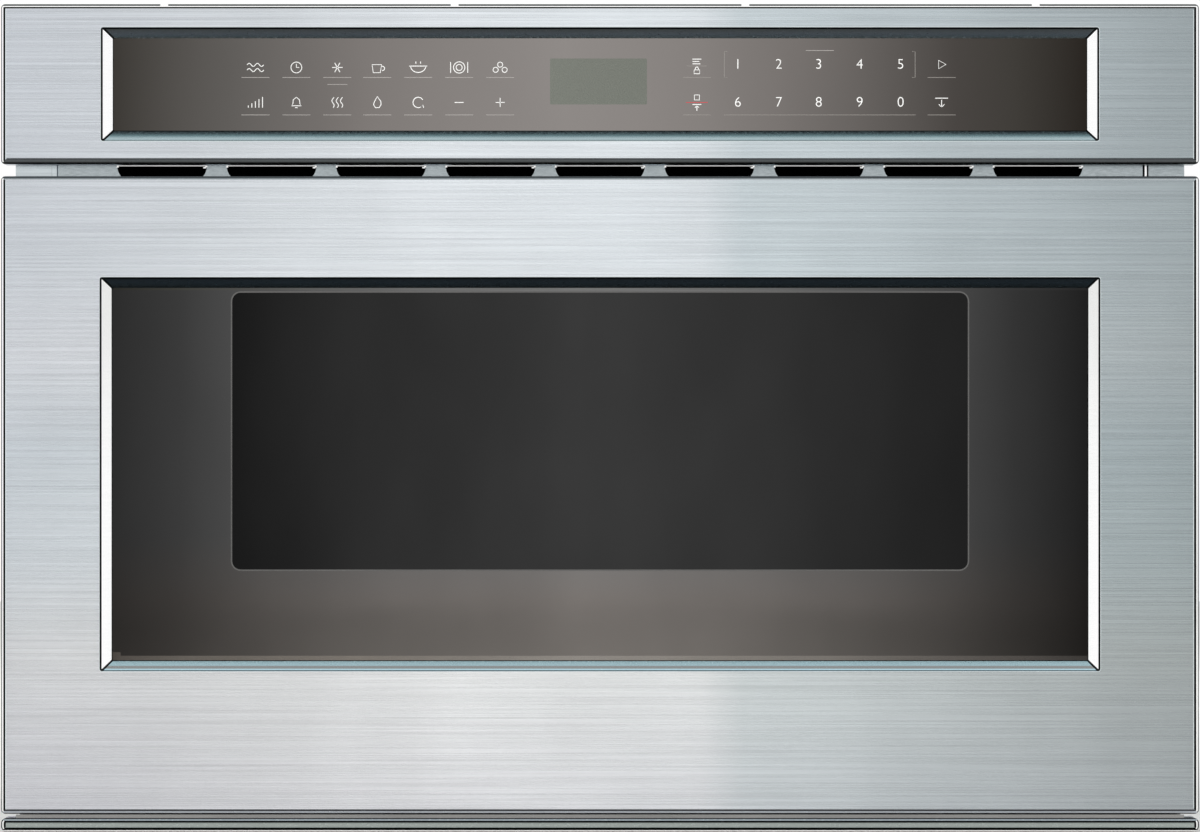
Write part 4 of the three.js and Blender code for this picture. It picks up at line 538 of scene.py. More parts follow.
class Piece:
    """Points and faces of one piece, in millimetres, gathered before its mesh is made."""

    def __init__(self, name: str, body: str) -> None:
        """Starts an empty piece.

        Args:
            name: Its name.
            body: The body that it rides on.
        """
        self.name = name
        self.body = body
        self.points: list[Triple] = []
        self.faces: list[tuple[int, ...]] = []
        self.face_finish: list[Finish] = []

    def ring(self, points: Iterable[Triple]) -> list[int]:
        """Adds points.

        Args:
            points: Their places, in millimetres.

        Returns:
            Their numbers, in order.
        """
        first = len(self.points)
        self.points.extend(points)
        return list(range(first, len(self.points)))

    def loop(self, outline: Iterable[tuple[float, float]], y: float) -> list[int]:
        """Adds an outline in X and Z at one depth, and returns its numbers."""
        return self.ring((x, y, z) for x, z in outline)

    def face(self, corners: Sequence[int], finish: Finish) -> None:
        """Adds one face."""
        self.faces.append(tuple(corners))
        self.face_finish.append(finish)

    def strip(
        self, inner: Sequence[int], outer: Sequence[int], finish: Finish | Callable[[int], Finish]
    ) -> None:
        """Joins two closed rings of as many points, with faces that face the viewer of both.

        Args:
            inner: The ring that lies inside, counter-clockwise as seen.
            outer: The ring round it.
            finish: One finish, or a function from segment to finish.
        """
        count = len(inner)
        for i in range(count):
            j = (i + 1) % count
            chosen = finish(i) if callable(finish) else finish
            self.face((inner[i], outer[i], outer[j], inner[j]), chosen)

    def frame(
        self, inner: Outline, outer: Outline, depths: tuple[float, float], finish: Finish, rim: bool = True
    ) -> tuple[list[int], list[int]]:
        """Adds a flat frame between two outlines.

        Args:
            inner: Its inner outline, counter-clockwise.
            outer: Its outer outline, with as many points.
            depths: Y of its near and of its far face.
            finish: The finish.
            rim: Whether its outer rim is closed; a cell that meets its neighbours leaves it open.

        Returns:
            The near and the far ring of the outer outline.
        """
        hole, edge, far_hole, far_edge = (self.loop(line, y) for y in depths for line in (inner, outer))
        self.strip(hole, edge, finish)
        if rim:
            self.strip(edge, far_edge, finish)
        self.strip(far_edge, far_hole, finish)
        self.strip(far_hole, hole, finish)
        return edge, far_edge

    def prism(self, outline: Outline, y0: float, y1: float, finish: Finish) -> None:
        """Adds a plate.

        Args:
            outline: Its outline in X and Z, counter-clockwise.
            y0: Its near face.
            y1: Its far face.
            finish: The finish.
        """
        front, back = self.loop(outline, y0), self.loop(outline, y1)
        self.face(front, finish)
        self.face(back[::-1], finish)
        self.strip(front, back, finish)

    def stroke(self, path: Outline, width: float, depths: tuple[float, float], finish: Finish) -> None:
        """Adds a flat ribbon of one width.

        Args:
            path: Its middle line in X and Z, closed where it ends at its start.
            width: Its width.
            depths: Y of its near and of its far face.
            finish: The finish.
        """
        left: Outline = []
        right: Outline = []
        closed = path[0] == path[-1]
        points = path[:-1] if closed else path
        count = len(points)
        for i, (x, z) in enumerate(points):
            before = points[i - 1] if (closed or i > 0) else points[i]
            after = points[(i + 1) % count] if (closed or i < count - 1) else points[i]
            along = Vector((after[0] - before[0], after[1] - before[1]))
            along.normalize()
            across = Vector((-along.y, along.x)) * width / 2
            left.append((x + across.x, z + across.y))
            right.append((x - across.x, z - across.y))
        a, b, c, d = (self.loop(line, y) for y in depths for line in (right, left))
        for i in range(count if closed else count - 1):
            j = (i + 1) % count
            self.face((a[i], a[j], b[j], b[i]), finish)
            self.face((c[j], c[i], d[i], d[j]), finish)
            self.face((a[j], a[i], c[i], c[j]), finish)
            self.face((b[i], b[j], d[j], d[i]), finish)
        if not closed:
            self.face((a[0], b[0], d[0], c[0]), finish)
            self.face((b[-1], a[-1], c[-1], d[-1]), finish)

    def slab(self, corners: Iterable[Triple], depth: Triple, finish: Finish) -> None:
        """Adds a plate in any direction.

        Args:
            corners: Its near corners, counter-clockwise as seen.
            depth: The step from them to its far side.
            finish: The finish.
        """
        near = self.ring(tuple(corner) for corner in corners)
        far = self.ring(tuple(Vector(self.points[i]) + Vector(depth)) for i in near)
        self.face(near, finish)
        self.face(far[::-1], finish)
        self.strip(near, far, finish)

    def box(self, low: Triple, high: Triple, finish: Finish) -> None:
        """Adds a block between two corners."""
        outline = [(low[0], low[2]), (high[0], low[2]), (high[0], high[2]), (low[0], high[2])]
        self.prism(outline, low[1], high[1], finish)

    def mesh(self) -> Mesh:
        """Makes the mesh.

        Returns:
            The mesh, in metres, with one material for each finish.
        """
        mesh = bpy.data.meshes.new(self.name)
        mesh.from_pydata([[c * MM for c in p] for p in self.points], [], self.faces)
        order = list(dict.fromkeys(self.face_finish))
        for finish in order:
            mesh.materials.append(finish.material())
        places = {finish: place for place, finish in enumerate(order)}
        mesh.polygons.foreach_set("material_index", [places[f] for f in self.face_finish])
        mesh.update()
        return mesh

    def made(self, smooth_below: float = 0.0) -> Object:
        """Makes the finished object, whose edges under an angle in degrees are shaded smooth."""
        return settle(self.mesh(), self.name, self.body, smooth_below)


def placed(name: str, data: ID) -> Object:
    """Puts an object with the given data in the scene, at the origin.

    Args:
        name: The object's name.
        data: Its mesh, curve, lamp or camera.

    Returns:
        The object.
    """
    made = bpy.data.objects.new(name, data)
    bpy.context.scene.collection.objects.link(made)
    return made


def settle(mesh: Mesh, name: str, body: str, smooth_below: float = 0.0) -> Object:
    """Puts a mesh in the scene as a piece that rides on a body.

    Args:
        mesh: The mesh, in metres and in place.
        name: The piece's name.
        body: The body that carries it.
        smooth_below: Angle in degrees under which an edge is shaded smooth, or 0 for none.

    Returns:
        The piece, at the origin.
    """
    if smooth_below > 0:
        mesh.shade_smooth()
        mesh.set_sharp_from_angle(angle=math.radians(smooth_below))
    made = placed(name, mesh)
    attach(made, body)
    LOG.info("piece %s on %s, %d faces", name, body, len(mesh.polygons))
    return made


def realised(source: Object) -> Mesh:
    """Makes a plain mesh of an object as its modifiers or its curve leave it."""
    bpy.context.view_layer.update()
    return bpy.data.meshes.new_from_object(source.evaluated_get(bpy.context.evaluated_depsgraph_get()))


def dress(finish: Finish, *nodes: str) -> None:
    """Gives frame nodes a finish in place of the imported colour.

    Args:
        finish: The finish.
        *nodes: Names of frame nodes.
    """
    for name in nodes:
        for slot in frame["nodes"][name].material_slots:
            slot.material = finish.material()
        LOG.info("node %s wears %s", name, finish.name)


# ---------------------------------------------------------------- pressed fronts

SMOOTH_FRONT = 28.0  # degrees: the roll of an edge shades smooth, a fold stays sharp
ROLL_STEPS = (0.0, 0.04, 0.12, 0.3, 0.6, 0.9, 1.2, 1.5, 1.8)  # insets that draw the rolled edge
ARRIS_REACH = 0.12  # how far in from the rim the fine arris runs
ARRIS_FALL = 0.35  # how much it falls back on top of the roll
MOUTH = ((0.0, 0.05), (0.25, 0.2))  # inset and drop of the two rings that round a well's mouth
LEDGE = 1.4  # width of the ledge behind the edge of the glass
WALL_GAP = 0.7  # how far outside the mouth the sheet ends on its hidden side


@dataclass(frozen=True)
class Well:
    """A sunk opening in a pressed front, with sloping sides down to its glass."""

    half_width: float
    low: float
    high: float
    slope: float = 5.2
    depth: float = 5.5
    radius: float = 1.0
    line: float = 1.0
    line_rise: float = 0.2
    inner_line: float = 0.4
    halo: float = 0.3
    top: Finish = PAINTED_SHADE
    bottom: Finish = PAINTED_HIGHLIGHT
    side: Finish = PAINTED_HIGHLIGHT

    def outline(self, inset: float) -> Outline:
        """Returns the well's outline, inset from its mouth."""
        return inset_box(self.half_width, self.low, self.high, inset, max(0.7, self.radius - inset))

    def brim(self, across: float, rise: float) -> Outline:
        """Returns the mouth's outline, spread by one width at its sides and another above and below."""
        half = self.half_width + across
        return rounded(-half, half, self.low - rise, self.high + rise, self.radius + rise)

    def finish(self, segment: int) -> Finish:
        """Chooses the finish of the slope: painted shade in its corners, and each side's painted reflection
        elsewhere.

        Args:
            segment: A segment of its outline.

        Returns:
            The finish there.
        """
        side, in_corner = side_of(segment)
        if in_corner:
            return PAINTED_SHADE
        return {Side.TOP: self.top, Side.BOTTOM: self.bottom}.get(side, self.side)

    def brim_finish(self, segment: int) -> Finish:
        """Returns the finish of the line round the mouth: painted shade, but the lower slope's finish along
        its foot.
        """
        side, in_corner = side_of(segment)
        return self.bottom if side is Side.BOTTOM and not in_corner else PAINTED_SHADE

    def brink_finish(self, segment: int) -> Finish:
        """Returns the finish of the line at the glass: painted shade, save along the top, which takes the
        top slope's finish.
        """
        side, in_corner = side_of(segment)
        return self.top if side is Side.TOP and not in_corner else PAINTED_SHADE


Hem = tuple[tuple[float, Finish], ...]


@dataclass
class PressedFront:
    """A front shell pressed from one sheet: a flat face, rolled edges and, where given, a well.

    hems gives, for each side, the bands that run along it: how far in from the edge each one
    ends, and its finish. notches are the places along X of small cuts through the top edge.
    """

    name: str
    body: str
    low: float
    high: float
    hems: dict[Side, Hem]
    face: Finish = BRUSHED_STEEL
    wall: Finish = BRUSHED_STEEL
    well: Well | None = None
    half_width: float = 303.2
    front: float = -297.0
    rear: float = -267.0
    sheet: float = 1.2
    edge: float = 2.2
    fall: float = 1.0
    corner: float = 2.0
    notches: tuple[float, ...] = ()
    notch_half: float = 2.0
    notch_depth: float = 1.0
    notch_run: float = 5.0

    def outline(self, inset: float) -> Outline:
        """Returns the shell's outline, inset from its edge."""
        return inset_box(self.half_width, self.low, self.high, inset, max(0.3, self.corner - inset))

    def depth_at(self, inset: float) -> float:
        """Follows the roll of the edge, with a fine arris at its rim.

        Args:
            inset: Distance in from the rim.

        Returns:
            The Y there.
        """
        if inset >= self.edge:
            return self.front
        arris = ARRIS_FALL * max(0.0, 1 - inset / ARRIS_REACH) ** 2
        return self.front + self.fall * (1 - inset / self.edge) ** 2 + arris

    def hem_at(self, segment: int, inset: float) -> Finish:
        """Returns the finish of a segment of the rolled edge."""
        bands = self.hems[side_of(segment)[0]]
        return next((finish for end, finish in bands if inset < end), self.face)

    def build(self) -> Object:
        """Builds the shell as a closed sheet.

        Returns:
            The finished piece.
        """
        piece = Piece(self.name, self.body)
        insets = sorted({*ROLL_STEPS, self.edge} | {end for hem in self.hems.values() for end, _ in hem})
        rolled = [piece.loop(self.outline(i), self.depth_at(i)) for i in insets]
        for (i, outer), (j, inner) in pairwise(zip(insets, rolled, strict=True)):
            piece.strip(inner, outer, lambda s, middle=(i + j) / 2: self.hem_at(s, middle))
        rim = piece.loop(self.outline(0), self.rear)
        lip = piece.loop(self.outline(self.sheet), self.rear)
        inside = piece.loop(self.outline(self.sheet), self.front + self.sheet)
        for inner, outer in pairwise((rolled[0], rim, lip, inside)):
            piece.strip(inner, outer, self.wall)
        if self.well is None:
            piece.face(rolled[-1], self.face)
            piece.face(inside[::-1], self.wall)
        else:
            self.sink(piece, self.well, rolled[-1], inside)
        made = piece.made(SMOOTH_FRONT)
        if self.notches:
            self.cut_notches(made)
        return made

    def sink(self, piece: Piece, well: Well, face: list[int], inside: list[int]) -> None:
        """Sinks the well, from the painted highlight of the halo round its mouth down to the ledge behind
        its glass.

        Args:
            piece: The shell so far.
            well: The well.
            face: The ring where the rolled edge meets the face.
            inside: The ring behind that.
        """
        floor = self.front + well.depth
        share = 1 - well.inner_line / well.slope
        line = piece.loop(well.brim(well.line, well.line_rise), self.front)
        mouth, lower = (piece.loop(well.outline(i), self.front + drop) for i, drop in MOUTH)
        throat = piece.loop(well.outline(well.slope), floor)
        brink = piece.loop(well.outline(well.slope * share), self.front + well.depth * share)
        ledge = piece.loop(well.outline(well.slope - LEDGE), floor)
        behind = piece.loop(well.outline(-WALL_GAP), self.front + self.sheet)
        halo = piece.loop(well.brim(well.line + well.halo, well.line_rise + well.halo), self.front)
        piece.strip(halo, face, self.face)
        piece.strip(line, halo, PAINTED_HALO)
        piece.strip(mouth, line, well.brim_finish)
        piece.strip(lower, mouth, well.finish)
        piece.strip(brink, lower, well.finish)
        piece.strip(throat, brink, well.brink_finish)
        for inner, outer in ((ledge, throat), (behind, ledge), (inside, behind)):
            piece.strip(inner, outer, self.face)

    def cut_notches(self, made: Object) -> None:
        """Cuts the small locating notches through the top edge of the shell, whose cut sides keep the
        tool's painted highlight.

        Args:
            made: The shell.
        """
        tool = Piece("notch_tool", self.body)
        floor = self.high - self.notch_depth
        for x in self.notches:
            near = (x - self.notch_half, self.front - 1, floor)
            far = (x + self.notch_half, self.front + self.notch_run, self.high + 1)
            tool.box(near, far, PAINTED_HIGHLIGHT)
        cutter = tool.made()
        cut = made.modifiers.new("notches", "BOOLEAN")
        cut.operation = "DIFFERENCE"
        cut.solver = "EXACT"
        cut.object = cutter
        mesh = realised(made)
        made.modifiers.remove(cut)
        made.data = mesh
        wall = mesh.materials.find(self.wall.name)
        for polygon in mesh.polygons:
            if polygon.normal.z > 0.99 and abs(polygon.center.z - floor * MM) < 1e-6 and wall >= 0:
                polygon.material_index = wall
        bpy.data.objects.remove(cutter)


# The edges and slopes of the fronts, as bands from their lower edge upwards. Each is the mirror
# of what lies over or under it: white for the room, near black for the gap beside the sheet.
EDGE_LEFT: Hem = ((0.45, PAINTED_RIM_SHADE), (1.15, PAINTED_HIGHLIGHT), (2.15, PAINTED_SHADE), (2.6, PAINTED_HALO))
EDGE_RIGHT: Hem = ((0.5, PAINTED_RIM_SHADE), (1.36, PAINTED_HIGHLIGHT), (2.5, PAINTED_SHADE), (2.9, PAINTED_HALO))
EDGE_TRIM: Hem = ((0.62, PAINTED_SHADE), (1.32, PAINTED_HIGHLIGHT), (2.4, PAINTED_SHADE))

# Slope over the control glass: it looks down at the dark glass, so its painted reflection stays grey and
# ends in a band of painted shade
CONTROL_TOP_SLOPE = bevel_finish(
    "control_slope_top", 402.0,
    tones("0 #6e7070, 0.6 #646a6e, 1.3 #525a61, 2.6 #4e545a, 4.3 #444849, 4.6 #07090a, 5.2 #07090a"),
)
# Slope under the control glass: it looks up at the light, and its lower arris shines
CONTROL_LOW_SLOPE = bevel_finish(
    "control_slope_low", 350.0,
    tones("0 #6c7b7e, 0.4 #9fb3b8, 1.2 #aabec3, 2.6 #708b90, 4 #65787d, 5.2 #5e6869"),
)
# Slope over the door glass: in its own shade, almost black
DRAWER_TOP_SLOPE = bevel_finish(
    "drawer_slope_top", 275.5, tones("0 #1f2426, 2.6 #222a30, 4.2 #20262b, 4.7 #060708, 5.2 #060708"),
)
# Slope under the door glass: bright where it looks up, with the glass's own edge in its middle
DRAWER_LOW_SLOPE = bevel_finish(
    "drawer_slope_low", 81.6,
    tones(
        "0 #56666e, 0.3 #56666e, 0.42 #b3d1db, 1 #b3d1db, 1.15 #8d9090, 2.4 #949898, 2.6 #a3bfc7, "
        "5.2 #a8c4cb"
    ),
)
# Top edge of the fascia, as painted reflection: a black line, the room as a white line, and the dark roll
# over it
FASCIA_TOP_HEM = bevel_finish(
    "fascia_hem_top", 416.9,
    tones("0 #7c8486, 0.08 #07090a, 0.76 #07090a, 0.82 #ffffff, 1.32 #ffffff, 1.38 #26312f, 2.2 #26312f"),
)
# Lower edge of the fascia, rolled under into the shade of the gap
FASCIA_LOW_HEM = bevel_finish(
    "fascia_hem_low", 338.1,
    tones("0 #050606, 0.85 #0a0b0b, 1 #4c4f50, 2.4 #54575a, 2.55 #2e3132, 3 #2e3132"),
)
# Top edge of the drawer front, rolled back, in painted reflection from a dark rim to a pale arris
DRAWER_TOP_HEM = bevel_finish(
    "drawer_hem_top", 330.1, tones("0 #c6cbce, 0.6 #8e9599, 1.1 #3e4548, 1.9 #555a5e"),
)
# Lower edge of the drawer front, as painted reflection: a dark rim, the floor as a pale line, and a dark
# band
DRAWER_LOW_HEM = bevel_finish(
    "drawer_hem_low", 9.2,
    tones(
        "0 #2c2c30, 0.45 #2c2c30, 0.55 #c0c5cd, 1.28 #c0c5cd, 1.4 #46474b, 2.1 #4b4c50, 2.35 #9a9fa2, "
        "2.5 #c6cbcb"
    ),
)
# The trim at the foot, rolled at both edges: floor, shade and light follow one another up its face
TRIM_FACE = bevel_finish(
    "trim_strip_face", 0.2,
    tones(
        "0 #1d1e20, 0.05 #1d1e20, 0.1 #ffffff, 0.72 #ffffff, 0.8 #040505, 2 #040505, 2.1 #9da4a1, "
        "3.4 #aab1ae, 4.52 #959c99, 4.6 #040505, 5.45 #040505, 5.55 #98a2a8, 6.3 #98a2a8, 6.42 #2a2b2d, "
        "6.9 #2a2b2d"
    ),
)


class FrontPanels:
    """The three stainless fronts: control fascia, drawer front and the trim at the foot."""

    def build(self) -> None:
        """Builds the fronts in place of their plain solids."""
        sides = {Side.LEFT: EDGE_LEFT, Side.RIGHT: EDGE_RIGHT}
        fascia = PressedFront(
            name="control_fascia_shell",
            body="root",
            low=338.1,
            high=419.1,
            hems={**sides, Side.TOP: ((2.2, FASCIA_TOP_HEM),), Side.BOTTOM: ((3.0, FASCIA_LOW_HEM),)},
            well=Well(251.7, 350.0, 407.2, top=CONTROL_TOP_SLOPE, bottom=CONTROL_LOW_SLOPE),
            notches=(-220.6, -73.6, 73.6, 220.6),
        ).build()
        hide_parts("control_fascia")
        drawer = PressedFront(
            name="drawer_front_shell",
            body="drawer",
            low=9.2,
            high=332.0,
            hems={**sides, Side.TOP: ((1.9, DRAWER_TOP_HEM),), Side.BOTTOM: ((2.4, DRAWER_LOW_HEM),)},
            well=Well(252.3, 81.6, 280.7, top=DRAWER_TOP_SLOPE, bottom=DRAWER_LOW_SLOPE),
        ).build()
        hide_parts("drawer_front")
        bands: Hem = ((2.0, TRIM_FACE),)
        trim = PressedFront(
            name="bottom_trim_strip",
            body="root",
            low=0.2,
            high=7.1,
            hems={Side.LEFT: EDGE_TRIM, Side.RIGHT: EDGE_TRIM, Side.TOP: bands, Side.BOTTOM: bands},
            face=TRIM_FACE,
            rear=-264.3,
            edge=1.1,
            fall=0.4,
            corner=2.6,
        ).build()
        # A smooth sill set back in the gap over the trim, whose grey is a painted reflection of the floor
        sill = Piece("foot_sill", "root")
        sill.box((-295.8, -294.6, 6.6), (295.8, -293.8, 8.75), SILL_STEEL)
        sill.made()
        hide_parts("bottom_trim")


# ---------------------------------------------------------------- glass and print

PX = 0.50618  # millimetres in a pixel of the front view
VIEW_HEIGHT = 832
GLASS_FACE = -291.2
FILM = (GLASS_FACE - 0.05, GLASS_FACE)  # Y of a film or print on the glass


def at(x_px: float, y_px: float) -> tuple[float, float]:
    """Returns X and Z in millimetres for a place on the 1200 by 832 front view."""
    return (x_px - 600) * PX, (VIEW_HEIGHT - y_px) * PX


def arc(
    centre: tuple[float, float], rx: float, rz: float, start: float = 0, end: float = 360, steps: int = 16
) -> Outline:
    """Draws a part of an ellipse.

    Args:
        centre: Its middle.
        rx: Its reach along X.
        rz: Its reach along Z.
        start: First angle, in degrees.
        end: Last angle, in degrees.
        steps: Segments between the two.

    Returns:
        The points, closed where they go all the way round.
    """
    turns = [math.radians(start + (end - start) * k / steps) for k in range(steps + 1)]
    points = [(centre[0] + rx * math.cos(t), centre[1] + rz * math.sin(t)) for t in turns]
    if abs(end - start) == 360:
        points[-1] = points[0]
    return points


class Sign(Enum):
    """Generic pictograms for the keys, as strokes in a field of about 10 by 5 millimetres."""

    CLOCK = (arc((0, 0), 2.3, 2.3), [(0, 1.5), (0, 0), (1.2, 0)])
    WAVES = tuple(
        [(k * 0.5 - 3.5, level + 0.7 * math.sin(k * 0.9)) for k in range(15)] for level in (1.1, -1.1)
    )
    FROST = ([(-2.2, 0), (2.2, 0)], [(-1.1, -1.95), (1.1, 1.95)], [(-1.1, 1.95), (1.1, -1.95)])
    CUP = (
        [(-2.2, 1.2), (-1.7, -2.2), (1.3, -2.2), (1.8, 1.2), (-2.2, 1.2)],
        arc((1.8, -0.4), 1.3, 1.0, -80, 80, 8),
    )
    BOWL = (
        arc((0, 0.6), 3.2, 2.7, 180),
        [(-3.8, 0.6), (3.8, 0.6)],
        [(-1, 1.6), (-1, 2.5)],
        [(1, 1.6), (1, 2.5)],
    )
    FLAME = (
        [(0, 2.5), (1.5, 0.5), (1.6, -0.9), (0.8, -2.2), (-0.8, -2.2), (-1.6, -0.9), (-1.2, 0.3), (0, 2.5)],
    )
    LEVELS = tuple([(1.5 * k - 3, -2.2), (1.5 * k - 3, -2.2 + (k + 1) * 0.9)] for k in range(5))
    PLATE = (
        arc((0, 0), 2.4, 2.4),
        arc((0, 0), 1.3, 1.3, steps=12),
        [(-3.6, -2.3), (-3.6, 2.3)],
        [(3.6, -2.3), (3.6, 2.3)],
    )
    KERNELS = tuple(arc(centre, 1.1, 1.1, steps=10) for centre in ((-1.9, -1.0), (1.9, -1.0), (0, 1.2)))
    STEAM = tuple(
        [(x + 0.5 * math.sin(k * 0.8), -2.2 + k * 0.49) for k in range(10)] for x in (-1.8, 0, 1.8)
    )
    MORE = ([(-1.9, 0), (1.9, 0)], [(0, -1.9), (0, 1.9)])
    LESS = ([(-1.9, 0), (1.9, 0)],)
    GO = ([(-1.4, -2), (2, 0), (-1.4, 2), (-1.4, -2)],)
    HALT = ([(-1.7, -1.7), (1.7, -1.7), (1.7, 1.7), (-1.7, 1.7), (-1.7, -1.7)],)
    LOCK = (
        [(-1.9, -2.2), (1.9, -2.2), (1.9, 0.4), (-1.9, 0.4), (-1.9, -2.2)],
        arc((0, 0.4), 1.2, 2.0, 0, 180, 10),
    )
    OUT = ([(-3, 2), (3, 2)], [(0, 1.2), (0, -2.2)], [(-1.3, -0.9), (0, -2.2), (1.3, -0.9)])
    BACK = ([(-3, 2), (3, 2)], [(0, 1.2), (0, -2.2)], [(-1.3, -0.1), (0, 1.2), (1.3, -0.1)])
    BELL = (
        [
            (-2.1, -1.4), (-1.5, -0.6), (-1.3, 1.1), (0, 2.2),
            (1.3, 1.1), (1.5, -0.6), (2.1, -1.4), (-2.1, -1.4),
        ],
        [(-0.5, -2.2), (0.5, -2.2)],
    )
    TURNS = (arc((0, 0), 2.2, 2.2, 30, 330), [(1.0, -1.9), (2.0, -1.1), (2.3, -2.3)])
    LINES = ([(-3, 1.6), (3, 1.6)], [(-3, 0), (1.6, 0)], [(-3, -1.6), (2.4, -1.6)])


@dataclass
class ControlPrint:
    """The control glass, its display window and the print on its face.

    Widths and sizes are in millimetres. The columns and rows of keys are in pixels of the front view.
    """

    line: float = 0.4
    hairline: float = 0.3
    swell: float = 1.2
    digit_size: float = 7.3
    digit_thinning: float = -0.09
    sign_columns: tuple[int, ...] = (255, 296, 337, 377, 418, 459, 500)
    digit_columns: tuple[int, ...] = (738, 779, 819, 860, 901)
    setting_column: int = 697
    start_column: int = 942
    rows: tuple[int, int] = (64, 102)
    sign_rows: tuple[int, int] = (67, 102)
    underlines: tuple[float, float] = (77.0, 114.5)
    half_underline: float = 14.0

    def build(self) -> None:
        """Dresses the glass and lays the film and print on it."""
        dress(CONTROL_GLASS, "control_glass")
        film = Piece("display_window_film", "root")
        x0, z1 = at(550, 58)
        x1, z0 = at(647, 104)
        film.prism(rounded(x0, x1, z0, z1, 0.6), *FILM, LCD_FILM)
        film.made()
        self.marks()
        self.digits()

    def rule(self, piece: Piece, path: Iterable[tuple[float, float]], finish: Finish) -> None:
        """Prints a thin line through places of the front view."""
        piece.stroke([at(*place) for place in path], self.hairline, FILM, finish)

    def sign(self, piece: Piece, sign: Sign, x_px: float, y_px: float, scale: float = 1.0) -> None:
        """Prints a pictogram.

        Args:
            piece: The print.
            sign: The pictogram.
            x_px: Its middle on the front view, across.
            y_px: Its middle on the front view, down.
            scale: Its size.
        """
        cx, cz = at(x_px, y_px)
        for path in sign.value:
            moved = [(cx + x * scale * self.swell, cz + z * scale * self.swell) for x, z in path]
            piece.stroke(moved, self.line, FILM, WHITE_INK)

    def marks(self) -> None:
        """Prints the pictograms, their underlines and the bracket round the number keys."""
        piece = Piece("control_print", "root")
        upper = (Sign.WAVES, Sign.CLOCK, Sign.FROST, Sign.CUP, Sign.BOWL, Sign.PLATE, Sign.KERNELS)
        lower = (Sign.LEVELS, Sign.BELL, Sign.STEAM, Sign.FLAME, Sign.TURNS, Sign.LESS, Sign.MORE)
        half = self.half_underline
        for x, above, below in zip(self.sign_columns, upper, lower, strict=True):
            self.sign(piece, above, x, self.sign_rows[0])
            self.sign(piece, below, x, self.sign_rows[1])
            for y in self.underlines:
                self.rule(piece, ((x - half, y), (x + half, y)), GREY_INK)
        self.rule(piece, ((327, 84), (347, 84)), GREY_INK)
        x = self.setting_column
        for sign, y in ((Sign.LINES, 61), (Sign.LOCK, 70), (Sign.HALT, 97), (Sign.BACK, 107)):
            self.sign(piece, sign, x, y, 0.62)
        self.rule(piece, ((x - 10, 65.5), (x + 10, 65.5)), DIM_INK)
        self.rule(piece, ((x - 11, 102), (x + 11, 102)), RED_INK)
        for y in self.underlines:
            for middle in (x, self.start_column):
                self.rule(piece, ((middle - half, y), (middle + half, y)), DIM_INK)
        for sign, y in zip((Sign.GO, Sign.OUT), self.rows, strict=True):
            self.sign(piece, sign, self.start_column, y, 0.9)
        for edge, lean in ((724.5, 3), (915.5, -3)):
            self.rule(piece, ((edge + lean, 51), (edge, 51), (edge, 77), (edge + lean, 77)), DIM_INK)
        self.rule(piece, ((724, 114.5), (916, 114.5)), DIM_INK)
        self.rule(piece, ((806, 50), (834, 50)), GREY_INK)
        piece.made()

    def digits(self) -> None:
        """Prints the ten number keys."""
        places = [at(x, y) for y in self.rows for x in self.digit_columns]
        thickness = FILM[1] - FILM[0]
        gathered = bmesh.new()
        for place, (x, z) in enumerate(places, start=1):
            curve = bpy.data.curves.new("digit", "FONT")
            curve.body = str(place % 10)
            curve.align_x = "CENTER"
            curve.align_y = "CENTER"
            curve.size = self.digit_size * MM
            curve.offset = self.digit_thinning * MM
            curve.extrude = thickness / 2 * MM
            made = placed("digit", curve)
            mesh = realised(made)
            moved = Matrix.Translation((x * MM, (FILM[1] - thickness / 2) * MM, z * MM))
            mesh.transform(moved @ Matrix.Rotation(math.radians(90), 4, "X"))
            gathered.from_mesh(mesh)
            bpy.data.objects.remove(made)
            bpy.data.curves.remove(curve)
            bpy.data.meshes.remove(mesh)
        bmesh.ops.remove_doubles(gathered, verts=gathered.verts, dist=1e-7)
        bmesh.ops.recalc_face_normals(gathered, faces=gathered.faces)
        mesh = bpy.data.meshes.new("control_digits")
        gathered.to_mesh(mesh)
        gathered.free()
        mesh.materials.append(WHITE_INK.material())
        settle(mesh, "control_digits", "root")


@dataclass
class DoorGlass:
    """The drawer's glass with its printed border and the window in it, painted dark as the shade of the
    cavity behind.
    """

    half_window: float = 187.1
    low: float = 132.1
    high: float = 273.8
    radius: float = 5.0
    outline_width: float = 0.7

    def outline(self, inset: float) -> Outline:
        """Returns the window's outline, inset from its edge."""
        return inset_box(self.half_window, self.low, self.high, inset, self.radius - inset)

    def film(self, name: str, outline: Outline, finish: Finish) -> None:
        """Lays one film on the face of the glass.

        Args:
            name: The piece's name.
            outline: Its outline.
            finish: Its finish.
        """
        piece = Piece(name, "drawer")
        piece.prism(outline, *FILM, finish)
        piece.made()

    def build(self) -> None:
        """Dresses the glass and lays the window, its outline and the light edge strips on it."""
        dress(DOOR_GLASS, "drawer_glass")
        inner = self.outline(self.outline_width)
        self.film("window_film", inner, WINDOW_GLASS)
        edge = Piece("window_outline", "drawer")
        edge.frame(inner, self.outline(0.0), FILM, WINDOW_EDGE)
        edge.made()
        x0, z0 = at(112, 290)
        x1, z1 = at(1088, 287.8)
        self.film("upper_edge_print", rounded(x0, x1, z0, z1, 0.2), UPPER_EDGE_STRIP)
        x0, z0 = at(112, 661.2)
        x1, z1 = at(1088, 656)
        step, top = at(120, 652.3)
        corner = [(x0, z0), (x1, z0), (x1, z1), (step, z1), (step, top), (x0, top)]
        self.film("lower_edge_print", corner, LOWER_EDGE_STRIP)


# ---------------------------------------------------------------- repeated shapes


